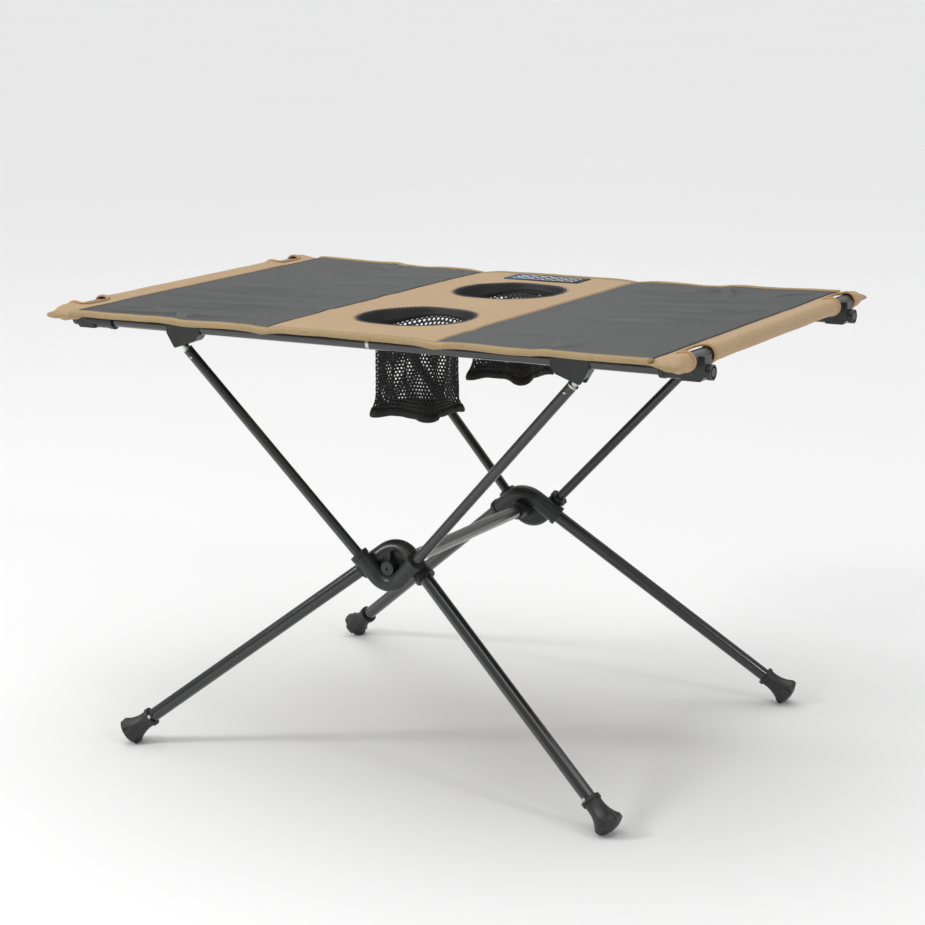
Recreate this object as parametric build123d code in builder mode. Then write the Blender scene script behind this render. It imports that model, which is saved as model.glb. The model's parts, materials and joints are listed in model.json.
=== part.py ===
from build123d import *
from math import asin, atan2, cos, sin, sqrt
import os

# Camp kitchen table: a stretched fabric top with two mesh cup pockets, on a frame of shock-corded
# poles. Two nylon hubs on a centre bar each hold two upper poles in a V and two lower legs in an
# inverted V. Millimetres; origin on the floor under the middle, +X along the long side, +Z up.

# ---- overall sizes
WIDTH = 600.0  # along X over the end sleeves
DEPTH = 404.0  # along Y at the corners
HEIGHT = 388.0  # floor to the upper face of the cloth
END_RISE = 4.0  # from there up to the top of the end sleeves
EDGE_HOLLOW = 12.0  # how far each long edge curves in at its middle
FOOT_X = 239.0  # where each leg's axis meets its sole
FOOT_Y = 189.0

# ---- tubes
LEG_OD = 12.0
LEG_WALL = 1.0
UPPER_OD = 9.0
UPPER_WALL = 0.8
SIDE_OD = 11.0
SIDE_WALL = 0.9
END_OD = 11.0
END_WALL = 0.9
BAR_OD = 12.0
BAR_WALL = 1.0
CORD_OD = 2.4

# ---- fits
RUN_FIT = 0.05  # radial, a pole that slides in a moulded socket
SEAT_FIT = 0.02  # radial, a piece that is pressed or bonded in place
FREE_GAP = 0.3  # between pieces that move past each other

# ---- cloth
CLOTH = 1.2
CENTRE_HALF = 82.0  # half the width of the centre panel
SLEEVE_IN = 25.0  # from the end of the table to the sleeve's seam
TAPE = 1.6  # edge binding, outwards
TAPE_HIGH = 5.0
TAPE_RISE = 0.6  # edge binding above the cloth
NOTCH = 38.0  # sleeve cut-out for each corner connector, along Y
NOTCH_IN = 23.0  # from the end of the table
PIPING = 2.0
PATCH = (77.0, 29.0, 0.6)
PATCH_Y = 162.0

# ---- cup pockets
CUP_X = 96.0
CUP_Y = 96.0
CUP_CORNER = 43.0
CUP_ASIDE = 3.0  # towards +X from the table's middle
CUP_POLE_GAP = 22.0  # from the side pole's axis to the cup opening
FACING_FLANGE = 6.0
FACING_HIGH = 15.0
FACING_TAPER = 4.0
FACING_THICK = 1.0
POCKET_HIGH = 82.0  # from the cloth to the pocket's floor
POCKET_X = 60.0  # pocket's floor
POCKET_Y = 50.0
POCKET_CORNER = 16.0
POCKET_THICK = 1.2

# ---- frame under the top
SIDE_INSET = 49.0  # side pole axis in from the corners
SIDE_DROP = 10.0  # side pole axis below the end pole axis
CHANNEL_GAP = 0.3  # between an end pole and its sleeve
CAP_THICK = 2.5
EAR = 10.0  # empty cloth past each end pole
PLUG_LONG = 12.0
RING_HALF = 1.6
RING_RISE = 0.3
FERRULE_HALF = 30.0
FERRULE_WALL = 1.3

# ---- corner connectors
CONNECTOR_REACH = 36.0  # from the end of the table to the connector's inner end
CONNECTOR_WALL = 1.6
CONNECTOR_WIDE = 13.0
COLLAR = 4.0
COLLAR_RISE = 0.6
SADDLE_IN = 10.0  # saddle block, inwards from the end pole's axis
SADDLE_OUT = 10.0
SADDLE_GRIP = 3.0  # saddle's lips above the end pole's axis
BOSS_R = 6.2
BOSS_OUT = 4.5
BOSS_RECESS = 3.0
BOSS_RIM = 1.2
BUTTON_R = 3.6
BUTTON_STEM_R = 2.0
BUTTON_STEM = 3.0
SADDLE_BEVEL = 4.0

# ---- leg brackets
TIP_X = 196.5  # where each upper pole's tip ends
TIP_COVER = 4.5  # from the tip's end up to the side pole's underside
TIP_OD = 6.4
TIP_LONG = 13.0
TIP_RING = 1.5
TIP_RING_RISE = 0.3
BRACKET_CHEEK = 0.5  # beside the side pole
BRACKET_IN = 26.5
BRACKET_OUT = 8.0
BRACKET_TOP = 2.0  # above the side pole
BRACKET_FOOT = 8.5  # lower outer corner, below the tip's end
BRACKET_HEEL = 1.0  # lower inner corner, below the tip's end
BRACKET_ROUND = 2.0

# ---- hubs
HUB_Y = 120.0
HUB_Z = 177.0
UPPER_STAND = 4.8  # upper layer's socket, outwards of the hub's middle plane
LOWER_STAND = 1.6  # lower layer's socket, inwards of it
UPPER_APEX_DROP = 20.6  # upper poles' axes meet this far below the centre bar
LOWER_APEX_RISE = 18.3  # lower legs' axes meet this far above it
ARM = 42.0  # from an apex to a socket's mouth
UPPER_START = 12.0  # from the apex to an upper pole's inner end
LOWER_START = 15.0
SOCKET_WALL_UPPER = 2.9
SOCKET_WALL_LOWER = 2.4
BEND_UPPER = 16.0
BEND_LOWER = 18.0
CORD_BEND_UPPER = 10.0
CORD_BEND_LOWER = 15.0
CORD_CHANNEL_R = 1.7
MOUTH_RING = 4.0
MOUTH_RISE = 0.9
WEB_HALF = 24.0
WEB_TOP = 17.0
WEB_BOTTOM = 15.0
WEB_THICK = 8.0
HUB_BOSS_R = 6.2
HUB_BOSS_OUT = 13.0  # boss face, outwards of the hub's middle plane
RIB = 1.4
RIB_OUT = 9.0
RIB_TOP = 14.0
BAR_SEAT = 16.0  # centre bar's length inside a hub
BAR_RIM = 1.8
BAR_END_IN = 6.0  # centre bar's end, inwards of the hub's middle plane
SCREW_R = 1.5
SCREW_HEAD_R = 3.4
SCREW_HEAD = 2.2
SCREW_DIMPLE_R = 1.6
SCREW_DIMPLE = 1.2

# ---- feet
BOOT_LONG = 27.0
BOOT_COLLAR_R = 8.6
BOOT_COLLAR = 3.0
BOOT_WAIST_R = 7.6
BOOT_WAIST_BOW = 0.8
BOOT_FLARE_R = 12.6
BOOT_DOME = 4.0
BOOT_FLOOR = 6.0  # rubber between the leg's end and the sole
BOOT_FLAT = 0.8  # sole worn flat by this much where it meets the floor
LUGS = 5
LUG_NOTCH_R = 3.2

CORNERS = {"front_left": (-1, -1), "front_right": (1, -1), "rear_left": (-1, 1), "rear_right": (1, 1)}
SIDES = {"front": -1, "rear": 1}
ENDS = {"left": -1, "right": 1}

# ---- places that follow from the sizes
half_width = WIDTH / 2
half_depth = DEPTH / 2
cloth_under = HEIGHT - CLOTH
seam_x = half_width - SLEEVE_IN
end_x = half_width - CLOTH - CHANNEL_GAP - END_OD / 2
end_z = HEIGHT + END_RISE - CLOTH - CHANNEL_GAP - END_OD / 2
side_y = half_depth - SIDE_INSET
side_z = end_z - SIDE_DROP
cup_y = side_y - CUP_POLE_GAP - CUP_Y / 2
tip_z = side_z - SIDE_OD / 2 - TIP_COVER
bracket_wide = SIDE_OD + 2 * BRACKET_CHEEK
pole_end_x = end_x - END_OD / 2 - 3 * CONNECTOR_WALL
upper_apex_y = HUB_Y + UPPER_OD / 2 + UPPER_STAND
lower_apex_y = HUB_Y - LEG_OD / 2 - LOWER_STAND
upper_apex_z = HUB_Z - UPPER_APEX_DROP
lower_apex_z = HUB_Z + LOWER_APEX_RISE
bar_end = HUB_Y - BAR_END_IN
end_pole_half = half_depth - CLOTH - CHANNEL_GAP - CAP_THICK - EAR

os.makedirs("parts", exist_ok=True)


def write_piece(piece, name):
    piece.part.label = name
    export_step(piece.part, f"parts/{name}.step")


def edge_at(x):
    """Half the tabletop's depth at x, on the hollow arc of its long edge."""
    radius = (half_width**2 + EDGE_HOLLOW**2) / (2 * EDGE_HOLLOW)
    return half_depth - EDGE_HOLLOW + radius - sqrt(radius**2 - x**2)


def sole_height():
    """Height of the point where a leg's axis meets its sole, so that the sole's edge is on the floor."""
    height = 0.0
    for _ in range(20):
        leg = Vector(FOOT_X, FOOT_Y - lower_apex_y, height - lower_apex_z)
        lean = sqrt(leg.X**2 + leg.Y**2) / leg.length
        height = BOOT_FLARE_R * lean - BOOT_FLAT
    return height


def upper_axis(sx, sy):
    """Apex of the upper poles and the tip's end of one of them."""
    return Vector(0, sy * upper_apex_y, upper_apex_z), Vector(sx * TIP_X, sy * side_y, tip_z)


def lower_axis(sx, sy):
    """Apex of the lower legs and the middle of one leg's sole."""
    return Vector(0, sy * lower_apex_y, lower_apex_z), Vector(sx * FOOT_X, sy * FOOT_Y, sole_height())


def along(start, end, distance):
    """Plane square to the line from start to end, at a distance from its start."""
    direction = (end - start).normalized()
    return Plane(origin=start + direction * distance, z_dir=direction)


def reach(start, end):
    return (end - start).length


def mirrored(master, sx, sy):
    """A copy of a corner piece made for the rear right corner, at another corner."""
    with BuildPart() as piece:
        add(master.part)
        if sx < 0:
            mirror(about=Plane.YZ, mode=Mode.REPLACE)
        if sy < 0:
            mirror(about=Plane.XZ, mode=Mode.REPLACE)
    return piece


def pipe(plane, outer, wall, length):
    """A round tube that starts on a plane."""
    with BuildPart() as piece:
        with BuildSketch(plane):
            Circle(outer / 2)
            Circle(outer / 2 - wall, mode=Mode.SUBTRACT)
        extrude(amount=length)
    return piece


# ---- cloth pieces


def panel(x_low, x_high, cups):
    """A flat panel of the top between two seams, with the hollow long edges."""
    middle = (x_low + x_high) / 2
    with BuildPart() as piece:
        with BuildSketch(Plane.XY.offset(cloth_under)):
            with BuildLine():
                front = ThreePointArc(
                    (x_low, -edge_at(x_low)), (middle, -edge_at(middle)), (x_high, -edge_at(x_high))
                )
                rear = ThreePointArc(
                    (x_high, edge_at(x_high)), (middle, edge_at(middle)), (x_low, edge_at(x_low))
                )
                Line(front @ 1, rear @ 0)
                Line(rear @ 1, front @ 0)
            make_face()
            for y in cups:
                with Locations((CUP_ASIDE, y)):
                    RectangleRounded(CUP_X, CUP_Y, CUP_CORNER, mode=Mode.SUBTRACT)
        extrude(amount=CLOTH)
    return piece


def sleeve(sx):
    """The cloth folded round an end pole, closed at both ends, cut away for the connectors."""
    outer = END_OD / 2 + CHANNEL_GAP + CLOTH
    across, up = end_x - seam_x, end_z - HEIGHT
    slope = asin(outer / sqrt(across**2 + up**2)) + atan2(up, across)
    low = outer * sqrt(0.5)
    flap_x = end_x - low - (cloth_under - end_z + low)
    with BuildPart() as piece:
        with BuildSketch(Plane.XZ.offset(-half_depth)):
            with BuildLine():
                top = Line((seam_x, HEIGHT), (end_x - outer * sin(slope), end_z + outer * cos(slope)))
                fold = ThreePointArc(top @ 1, (end_x + outer, end_z), (end_x, end_z - outer))
                under = ThreePointArc(
                    fold @ 1, (end_x - outer * 0.3827, end_z - outer * 0.9239), (end_x - low, end_z - low)
                )
                flap = Line(under @ 1, (flap_x, cloth_under))
                lip = Line(flap @ 1, (seam_x, cloth_under))
                Line(lip @ 1, top @ 0)
            make_face()
        extrude(amount=DEPTH)
        with BuildSketch(Plane.XZ.offset(-(half_depth - CLOTH))):
            with Locations((end_x, end_z)):
                Circle(END_OD / 2 + CHANNEL_GAP)
        extrude(amount=DEPTH - 2 * CLOTH, mode=Mode.SUBTRACT)
        for sy in SIDES.values():
            with Locations((half_width, sy * side_y, HEIGHT)):
                Box(2 * NOTCH_IN, NOTCH, 6 * END_OD, mode=Mode.SUBTRACT)
    return mirrored(piece, sx, 1)


def edge_binding(sy):
    """The folded tape along a long edge, from seam to seam."""
    low = HEIGHT + TAPE_RISE - TAPE_HIGH
    with BuildPart() as piece:
        with BuildSketch(Plane.XY.offset(low)):
            with BuildLine():
                inner = ThreePointArc(
                    (-seam_x, edge_at(seam_x)), (0, edge_at(0)), (seam_x, edge_at(seam_x))
                )
                outer = ThreePointArc(
                    (seam_x, edge_at(seam_x) + TAPE), (0, edge_at(0) + TAPE), (-seam_x, edge_at(seam_x) + TAPE)
                )
                Line(inner @ 1, outer @ 0)
                Line(outer @ 1, inner @ 0)
            make_face()
        extrude(amount=TAPE_HIGH)
    return mirrored(piece, 1, sy)


def notch_bindings():
    """The piping along the inner edge of each of the four sleeve cut-outs."""
    x = half_width - NOTCH_IN + PIPING / 2
    with BuildPart() as piece:
        for sx, sy in CORNERS.values():
            with Locations((sx * x, sy * side_y, cloth_under + PIPING / 2)):
                Box(PIPING, NOTCH, PIPING)
    return piece


def cup_wall(y, upper, lower, thick):
    """A tapered wall round a cup opening, between outlines of (height, along X, along Y, corner)."""
    with BuildPart() as piece:
        for wall, mode in ((0.0, Mode.ADD), (thick, Mode.SUBTRACT)):
            for height, wide, deep, corner in (upper, lower):
                with BuildSketch(Plane.XY.offset(height)):
                    with Locations((CUP_ASIDE, y)):
                        RectangleRounded(wide - 2 * wall, deep - 2 * wall, corner - wall)
            loft(mode=mode)
    return piece


def cup_ring(inwards):
    """Outline of a cup's facing, this far inside the opening in the cloth."""
    return CUP_X - 2 * inwards, CUP_Y - 2 * inwards, CUP_CORNER - inwards


def cup_facing(sy):
    """The smooth strip sewn under the opening's edge and hanging inside it."""
    y = sy * cup_y
    upper = (cloth_under, *cup_ring(0))
    lower = (cloth_under - FACING_HIGH, *cup_ring(FACING_TAPER))
    wall = cup_wall(y, upper, lower, FACING_THICK)
    with BuildPart() as piece:
        add(wall.part)
        with BuildSketch(Plane.XY.offset(cloth_under - FACING_THICK)):
            with Locations((CUP_ASIDE, y)):
                RectangleRounded(*cup_ring(-FACING_FLANGE))
                RectangleRounded(*cup_ring(FACING_THICK), mode=Mode.SUBTRACT)
        extrude(amount=FACING_THICK)
    return piece


def cup_pocket(sy):
    """The mesh bag below a facing, open at the top and drawn in to a small floor."""
    y = sy * cup_y
    bottom = HEIGHT - POCKET_HIGH
    upper = (cloth_under - FACING_HIGH, *cup_ring(FACING_TAPER))
    wall = cup_wall(y, upper, (bottom, POCKET_X, POCKET_Y, POCKET_CORNER), POCKET_THICK)
    with BuildPart() as piece:
        add(wall.part)
        with BuildSketch(Plane.XY.offset(bottom - POCKET_THICK)):
            with Locations((CUP_ASIDE, y)):
                RectangleRounded(POCKET_X, POCKET_Y, POCKET_CORNER)
        extrude(amount=POCKET_THICK)
    return piece


def label_patch():
    """A blank sewn patch on the centre panel, near the rear edge."""
    with BuildPart() as piece:
        with BuildSketch(Plane.XY.offset(HEIGHT)):
            with Locations((0, PATCH_Y)):
                Rectangle(PATCH[0], PATCH[1])
        extrude(amount=PATCH[2])
    return piece


# ---- frame of the top


def end_pole(sx):
    plane = Plane(origin=(sx * end_x, -end_pole_half, end_z), z_dir=(0, 1, 0))
    return pipe(plane, END_OD, END_WALL, 2 * end_pole_half)


def end_pole_caps():
    """A cap on both ends of both end poles."""
    with BuildPart() as piece:
        for sx, sy in CORNERS.values():
            face = Plane(origin=(sx * end_x, sy * end_pole_half, end_z), z_dir=(0, sy, 0))
            with BuildSketch(face):
                Circle(END_OD / 2)
            extrude(amount=CAP_THICK)
            with BuildSketch(face):
                Circle(END_OD / 2 - END_WALL - SEAT_FIT)
            extrude(amount=-PLUG_LONG)
    return piece


def side_pole(sx, sy):
    plane = Plane(origin=(sx * RING_HALF, sy * side_y, side_z), z_dir=(sx, 0, 0))
    return pipe(plane, SIDE_OD, SIDE_WALL, pole_end_x - RING_HALF)


def side_ferrule(sy):
    """The sleeve inside both halves of a side pole, with a ring that shows between them."""
    inner = SIDE_OD / 2 - SIDE_WALL - SEAT_FIT
    with BuildPart() as piece:
        with BuildSketch(Plane(origin=(-FERRULE_HALF, sy * side_y, side_z), z_dir=(1, 0, 0))):
            Circle(inner)
        extrude(amount=2 * FERRULE_HALF)
        with BuildSketch(Plane(origin=(-RING_HALF, sy * side_y, side_z), z_dir=(1, 0, 0))):
            Circle(SIDE_OD / 2 + RING_RISE)
        extrude(amount=2 * RING_HALF)
        with BuildSketch(Plane(origin=(-FERRULE_HALF, sy * side_y, side_z), z_dir=(1, 0, 0))):
            Circle(inner - FERRULE_WALL)
        extrude(amount=2 * FERRULE_HALF, mode=Mode.SUBTRACT)
    return piece


def side_cord(sy):
    """The elastic cord through a side pole, held by the plug of each connector."""
    half = pole_end_x - PLUG_LONG
    with BuildPart() as piece:
        with BuildSketch(Plane(origin=(-half, sy * side_y, side_z), z_dir=(1, 0, 0))):
            Circle(CORD_OD / 2)
        extrude(amount=2 * half)
    return piece


def saddle_block(low):
    """The block under and round an end pole, before its channel is cut."""
    high = end_z + SADDLE_GRIP - low
    with BuildPart() as piece:
        with Locations((end_x + (SADDLE_OUT - SADDLE_IN) / 2, side_y, low + high / 2)):
            Box(SADDLE_IN + SADDLE_OUT, CONNECTOR_WIDE, high)
        corner = piece.edges().filter_by(Axis.Y).group_by(Axis.Z)[0].sort_by(Axis.X)[-1]
        chamfer(corner, SADDLE_BEVEL)
    return piece


def corner_connector():
    """Socket for a side pole and a snap saddle for an end pole, with a round boss outside."""
    body_r = SIDE_OD / 2 + CONNECTOR_WALL
    start = half_width - CONNECTOR_REACH
    saddle = saddle_block(side_z - body_r)
    boss_face = end_x + SADDLE_OUT + BOSS_OUT
    with BuildPart() as piece:
        with BuildSketch(Plane(origin=(start, side_y, side_z), z_dir=(1, 0, 0))):
            Circle(body_r)
        extrude(amount=end_x - start)
        with BuildSketch(Plane(origin=(start, side_y, side_z), z_dir=(1, 0, 0))):
            Circle(body_r + COLLAR_RISE)
        extrude(amount=COLLAR)
        add(saddle.part)
        with BuildSketch(Plane(origin=(end_x + SADDLE_OUT, side_y, side_z), z_dir=(1, 0, 0))):
            Circle(BOSS_R)
        extrude(amount=BOSS_OUT)
        with BuildSketch(Plane(origin=(boss_face, side_y, side_z), z_dir=(1, 0, 0))):
            Circle(BOSS_R - BOSS_RIM)
        extrude(amount=-BOSS_RECESS, mode=Mode.SUBTRACT)
        with BuildSketch(Plane(origin=(boss_face - BOSS_RECESS, side_y, side_z), z_dir=(1, 0, 0))):
            Circle(BUTTON_STEM_R + SEAT_FIT)
        extrude(amount=-BUTTON_STEM, mode=Mode.SUBTRACT)
        with BuildSketch(Plane(origin=(end_x, side_y - CONNECTOR_WIDE, end_z), z_dir=(0, 1, 0))):
            Circle(END_OD / 2 + RUN_FIT)
        extrude(amount=2 * CONNECTOR_WIDE, mode=Mode.SUBTRACT)
        with BuildSketch(Plane(origin=(start, side_y, side_z), z_dir=(1, 0, 0))):
            Circle(SIDE_OD / 2 + SEAT_FIT)
            Circle(SIDE_OD / 2 - SIDE_WALL - SEAT_FIT, mode=Mode.SUBTRACT)
        extrude(amount=pole_end_x - start, mode=Mode.SUBTRACT)
        with BuildSketch(Plane(origin=(start, side_y, side_z), z_dir=(1, 0, 0))):
            Circle(SIDE_OD / 2)
        extrude(amount=pole_end_x - PLUG_LONG - start, mode=Mode.SUBTRACT)
    return piece


def connector_buttons():
    """The round plug in the boss of each connector."""
    face = end_x + SADDLE_OUT + BOSS_OUT
    with BuildPart() as piece:
        for sx, sy in CORNERS.values():
            floor = Plane(origin=(sx * (face - BOSS_RECESS), sy * side_y, side_z), z_dir=(sx, 0, 0))
            with BuildSketch(floor):
                Circle(BUTTON_R)
            extrude(amount=BOSS_RECESS)
            with BuildSketch(floor):
                Circle(BUTTON_STEM_R)
            extrude(amount=-BUTTON_STEM)
    return piece


# ---- leg brackets


def tip_pocket(travel):
    """Outline, in the XZ plane, of the space that a pole's tip needs to enter and to drop out."""
    apex, end = upper_axis(1, 1)
    lean = Vector(end.X - apex.X, end.Z - apex.Z).normalized()
    side = Vector(lean.Y, -lean.X)
    room = TIP_OD / 2 + FREE_GAP
    top = Vector(end.X, end.Z) + lean * FREE_GAP
    upper = top - side * room
    lower = top + side * room
    exit_ = Vector(travel.X, travel.Z).normalized()
    return [upper, lower, lower + exit_ * 3 * TIP_LONG, upper - lean * 3 * TIP_LONG]


def leg_bracket(travel):
    """The block on a side pole that an upper pole's tip stands in."""
    x, z = TIP_X, tip_z
    top = side_z + SIDE_OD / 2 + BRACKET_TOP
    heel = side_z - SIDE_OD / 2
    drift = TIP_LONG * (side_y - upper_apex_y) / reach(*upper_axis(1, 1))
    slot = TIP_OD + 2 * FREE_GAP + 2 * drift
    outline = [
        (x - BRACKET_IN, top),
        (x - BRACKET_IN, heel),
        (x - BRACKET_IN + BRACKET_HEEL * 5, z - BRACKET_HEEL),
        (x, z - BRACKET_FOOT),
        (x + BRACKET_OUT, heel),
        (x + BRACKET_OUT, top),
    ]
    with BuildPart() as piece:
        with BuildSketch(Plane.XZ.offset(-side_y - bracket_wide / 2)):
            Polygon(*outline, align=None)
            fillet(vertices(), BRACKET_ROUND)
        extrude(amount=bracket_wide)
        with BuildSketch(Plane.XZ.offset(-side_y - slot / 2)):
            Polygon(*[(p.X, p.Y) for p in tip_pocket(travel)], align=None)
        extrude(amount=slot, mode=Mode.SUBTRACT)
        with BuildSketch(Plane(origin=(x - 2 * BRACKET_IN, side_y, side_z), z_dir=(1, 0, 0))):
            Circle(SIDE_OD / 2 + SEAT_FIT)
        extrude(amount=4 * BRACKET_IN, mode=Mode.SUBTRACT)
    return piece


# ---- poles under the top


def pole_travel():
    """Movement of an upper pole against the top as the top is lifted off, per unit of lift."""
    apex, end = upper_axis(1, 1)
    return (end - apex).normalized() * POLE_RATIO - Vector(0, 0, 1)


def upper_pole(sx, sy):
    apex, end = upper_axis(sx, sy)
    length = reach(apex, end) - TIP_LONG - TIP_RING - UPPER_START
    return pipe(along(apex, end, UPPER_START), UPPER_OD, UPPER_WALL, length)


def pole_tip(sx, sy):
    """The pin on the end of an upper pole, with the ring that shows below the bracket."""
    apex, end = upper_axis(sx, sy)
    shoulder = reach(apex, end) - TIP_LONG
    with BuildPart() as piece:
        with BuildSketch(along(apex, end, shoulder)):
            Circle(TIP_OD / 2)
        extrude(amount=TIP_LONG)
        with BuildSketch(along(apex, end, shoulder - TIP_RING)):
            Circle(UPPER_OD / 2 + TIP_RING_RISE)
        extrude(amount=TIP_RING)
        with BuildSketch(along(apex, end, shoulder - TIP_RING)):
            Circle(UPPER_OD / 2 - UPPER_WALL - SEAT_FIT)
        extrude(amount=-PLUG_LONG)
        chamfer(piece.edges().filter_by(GeomType.CIRCLE).sort_by(Axis.Z)[-1], TIP_OD / 8)
    return piece


def lower_leg(sx, sy):
    apex, sole = lower_axis(sx, sy)
    length = reach(apex, sole) - BOOT_FLOOR - LOWER_START
    return pipe(along(apex, sole, LOWER_START), LEG_OD, LEG_WALL, length)


def boot():
    """A rubber boot along Z, its sole's edge at the origin's height, with a lobed flare and a dome."""
    collar_under = -BOOT_LONG + BOOT_COLLAR
    dome_radius = (BOOT_FLARE_R**2 + BOOT_DOME**2) / (2 * BOOT_DOME)
    dome_middle = (BOOT_FLARE_R / 2, BOOT_DOME - dome_radius + sqrt(dome_radius**2 - BOOT_FLARE_R**2 / 4))
    with BuildPart() as piece:
        with BuildSketch(Plane.XZ):
            with BuildLine():
                Polyline((0, -BOOT_LONG), (BOOT_COLLAR_R, -BOOT_LONG), (BOOT_COLLAR_R, collar_under))
                Line((BOOT_COLLAR_R, collar_under), (BOOT_WAIST_R, collar_under))
                ThreePointArc(
                    (BOOT_WAIST_R, collar_under),
                    (BOOT_WAIST_R + BOOT_WAIST_BOW, -BOOT_LONG * 0.45),
                    (BOOT_FLARE_R, -BOOT_COLLAR),
                )
                Line((BOOT_FLARE_R, -BOOT_COLLAR), (BOOT_FLARE_R, 0))
                ThreePointArc((BOOT_FLARE_R, 0), dome_middle, (0, BOOT_DOME))
                Line((0, BOOT_DOME), (0, -BOOT_LONG))
            make_face()
        revolve(axis=Axis.Z)
        with BuildSketch(Plane.XY.offset(-BOOT_LONG)):
            Circle(LEG_OD / 2 + SEAT_FIT)
        extrude(amount=BOOT_LONG - BOOT_FLOOR, mode=Mode.SUBTRACT)
        with BuildSketch(Plane.XY.offset(BOOT_DOME)):
            with PolarLocations(BOOT_FLARE_R + LUG_NOTCH_R / 4, LUGS, start_angle=180 / LUGS):
                Circle(LUG_NOTCH_R)
        extrude(amount=-(BOOT_DOME + 3 * BOOT_COLLAR), mode=Mode.SUBTRACT)
    return piece


def foot(master, sx, sy):
    """The boot on one leg, turned so that a lug stands on the floor and worn flat there."""
    apex, sole = lower_axis(sx, sy)
    direction = (sole - apex).normalized()
    down = Vector(0, 0, -1) - direction * Vector(0, 0, -1).dot(direction)
    with BuildPart() as piece:
        with Locations(Plane(origin=sole, x_dir=down, z_dir=direction)):
            add(master.part)
        with Locations((sole.X, sole.Y, -BOOT_LONG)):
            Box(4 * BOOT_LONG, 4 * BOOT_LONG, 2 * BOOT_LONG, mode=Mode.SUBTRACT)
    return piece


# ---- hubs and centre bar


def bent_rod(axis, sy, distance, bend, radius):
    """A round rod along a hub layer's bent centre line, cut off at a distance from the apex."""
    apex, left = axis(-1, sy)
    right = axis(1, sy)[1]
    start = apex + (left - apex).normalized() * distance
    finish = apex + (right - apex).normalized() * distance
    with BuildPart() as piece:
        with BuildLine():
            FilletPolyline(start, apex, finish, radius=bend)
        with BuildSketch(Plane(origin=start, z_dir=apex - start)):
            Circle(radius)
        sweep()
    return piece


def hub():
    """The rear hub: V of upper sockets outside, inverted V of lower sockets inside, bar socket."""
    upper_r = UPPER_OD / 2 + SOCKET_WALL_UPPER
    lower_r = LEG_OD / 2 + SOCKET_WALL_LOWER
    rim_face = bar_end - BAR_SEAT
    boss_face = HUB_Y + HUB_BOSS_OUT
    upper_layer = bent_rod(upper_axis, 1, ARM, BEND_UPPER, upper_r)
    lower_layer = bent_rod(lower_axis, 1, ARM, BEND_LOWER, lower_r)
    upper_channel = bent_rod(upper_axis, 1, UPPER_START + RIB, CORD_BEND_UPPER, CORD_CHANNEL_R)
    lower_channel = bent_rod(lower_axis, 1, LOWER_START + RIB, CORD_BEND_LOWER, CORD_CHANNEL_R)
    with BuildPart() as piece:
        add(upper_layer.part)
        add(lower_layer.part)
        for axis, radius in ((upper_axis, upper_r), (lower_axis, lower_r)):
            for sx in ENDS.values():
                apex, end = axis(sx, 1)
                with BuildSketch(along(apex, end, ARM - MOUTH_RING)):
                    Circle(radius + MOUTH_RISE)
                extrude(amount=MOUTH_RING)
        with BuildSketch(Plane.XZ.offset(-HUB_Y - WEB_THICK / 2)):
            Polygon(
                (-WEB_HALF, HUB_Z), (0, HUB_Z - WEB_BOTTOM), (WEB_HALF, HUB_Z), (0, HUB_Z + WEB_TOP), align=None
            )
        extrude(amount=WEB_THICK)
        with BuildSketch(Plane.XZ.offset(-boss_face)):
            with Locations((0, HUB_Z)):
                Circle(HUB_BOSS_R)
        extrude(amount=HUB_BOSS_OUT)
        with BuildSketch(Plane.XZ.offset(-HUB_Y - RIB_OUT)):
            with Locations((0, HUB_Z + RIB_TOP / 2)):
                Rectangle(RIB, RIB_TOP)
        extrude(amount=RIB_OUT)
        with BuildSketch(Plane.XZ.offset(-HUB_Y)):
            with Locations((0, HUB_Z)):
                Circle(BAR_OD / 2 + RUN_FIT + BAR_RIM)
        extrude(amount=HUB_Y - rim_face)
        for axis, size, start in (
            (upper_axis, UPPER_OD, UPPER_START),
            (lower_axis, LEG_OD, LOWER_START),
        ):
            for sx in ENDS.values():
                apex, end = axis(sx, 1)
                with BuildSketch(along(apex, end, start - FREE_GAP)):
                    Circle(size / 2 + RUN_FIT)
                extrude(amount=2 * ARM, mode=Mode.SUBTRACT)
        add(upper_channel.part, mode=Mode.SUBTRACT)
        add(lower_channel.part, mode=Mode.SUBTRACT)
        with BuildSketch(Plane.XZ.offset(-bar_end)):
            with Locations((0, HUB_Z)):
                Circle(BAR_OD / 2 + SEAT_FIT)
        extrude(amount=2 * BAR_SEAT, mode=Mode.SUBTRACT)
        with BuildSketch(Plane.XZ.offset(-boss_face)):
            with Locations((0, HUB_Z)):
                Circle(SCREW_HEAD_R + SEAT_FIT)
        extrude(amount=SCREW_HEAD, mode=Mode.SUBTRACT)
        with BuildSketch(Plane.XZ.offset(-boss_face)):
            with Locations((0, HUB_Z)):
                Circle(SCREW_R + SEAT_FIT)
        extrude(amount=2 * HUB_BOSS_OUT, mode=Mode.SUBTRACT)
    return piece


def centre_bar():
    return pipe(Plane(origin=(0, -bar_end, HUB_Z), z_dir=(0, 1, 0)), BAR_OD, BAR_WALL, 2 * bar_end)


def bar_plugs():
    """The insert in each end of the centre bar that its hub's screw bites into."""
    with BuildPart() as piece:
        for sy in SIDES.values():
            with BuildSketch(Plane(origin=(0, sy * bar_end, HUB_Z), z_dir=(0, -sy, 0))):
                Circle(BAR_OD / 2 - BAR_WALL - SEAT_FIT)
                Circle(SCREW_R + SEAT_FIT, mode=Mode.SUBTRACT)
            extrude(amount=PLUG_LONG)
    return piece


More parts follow.
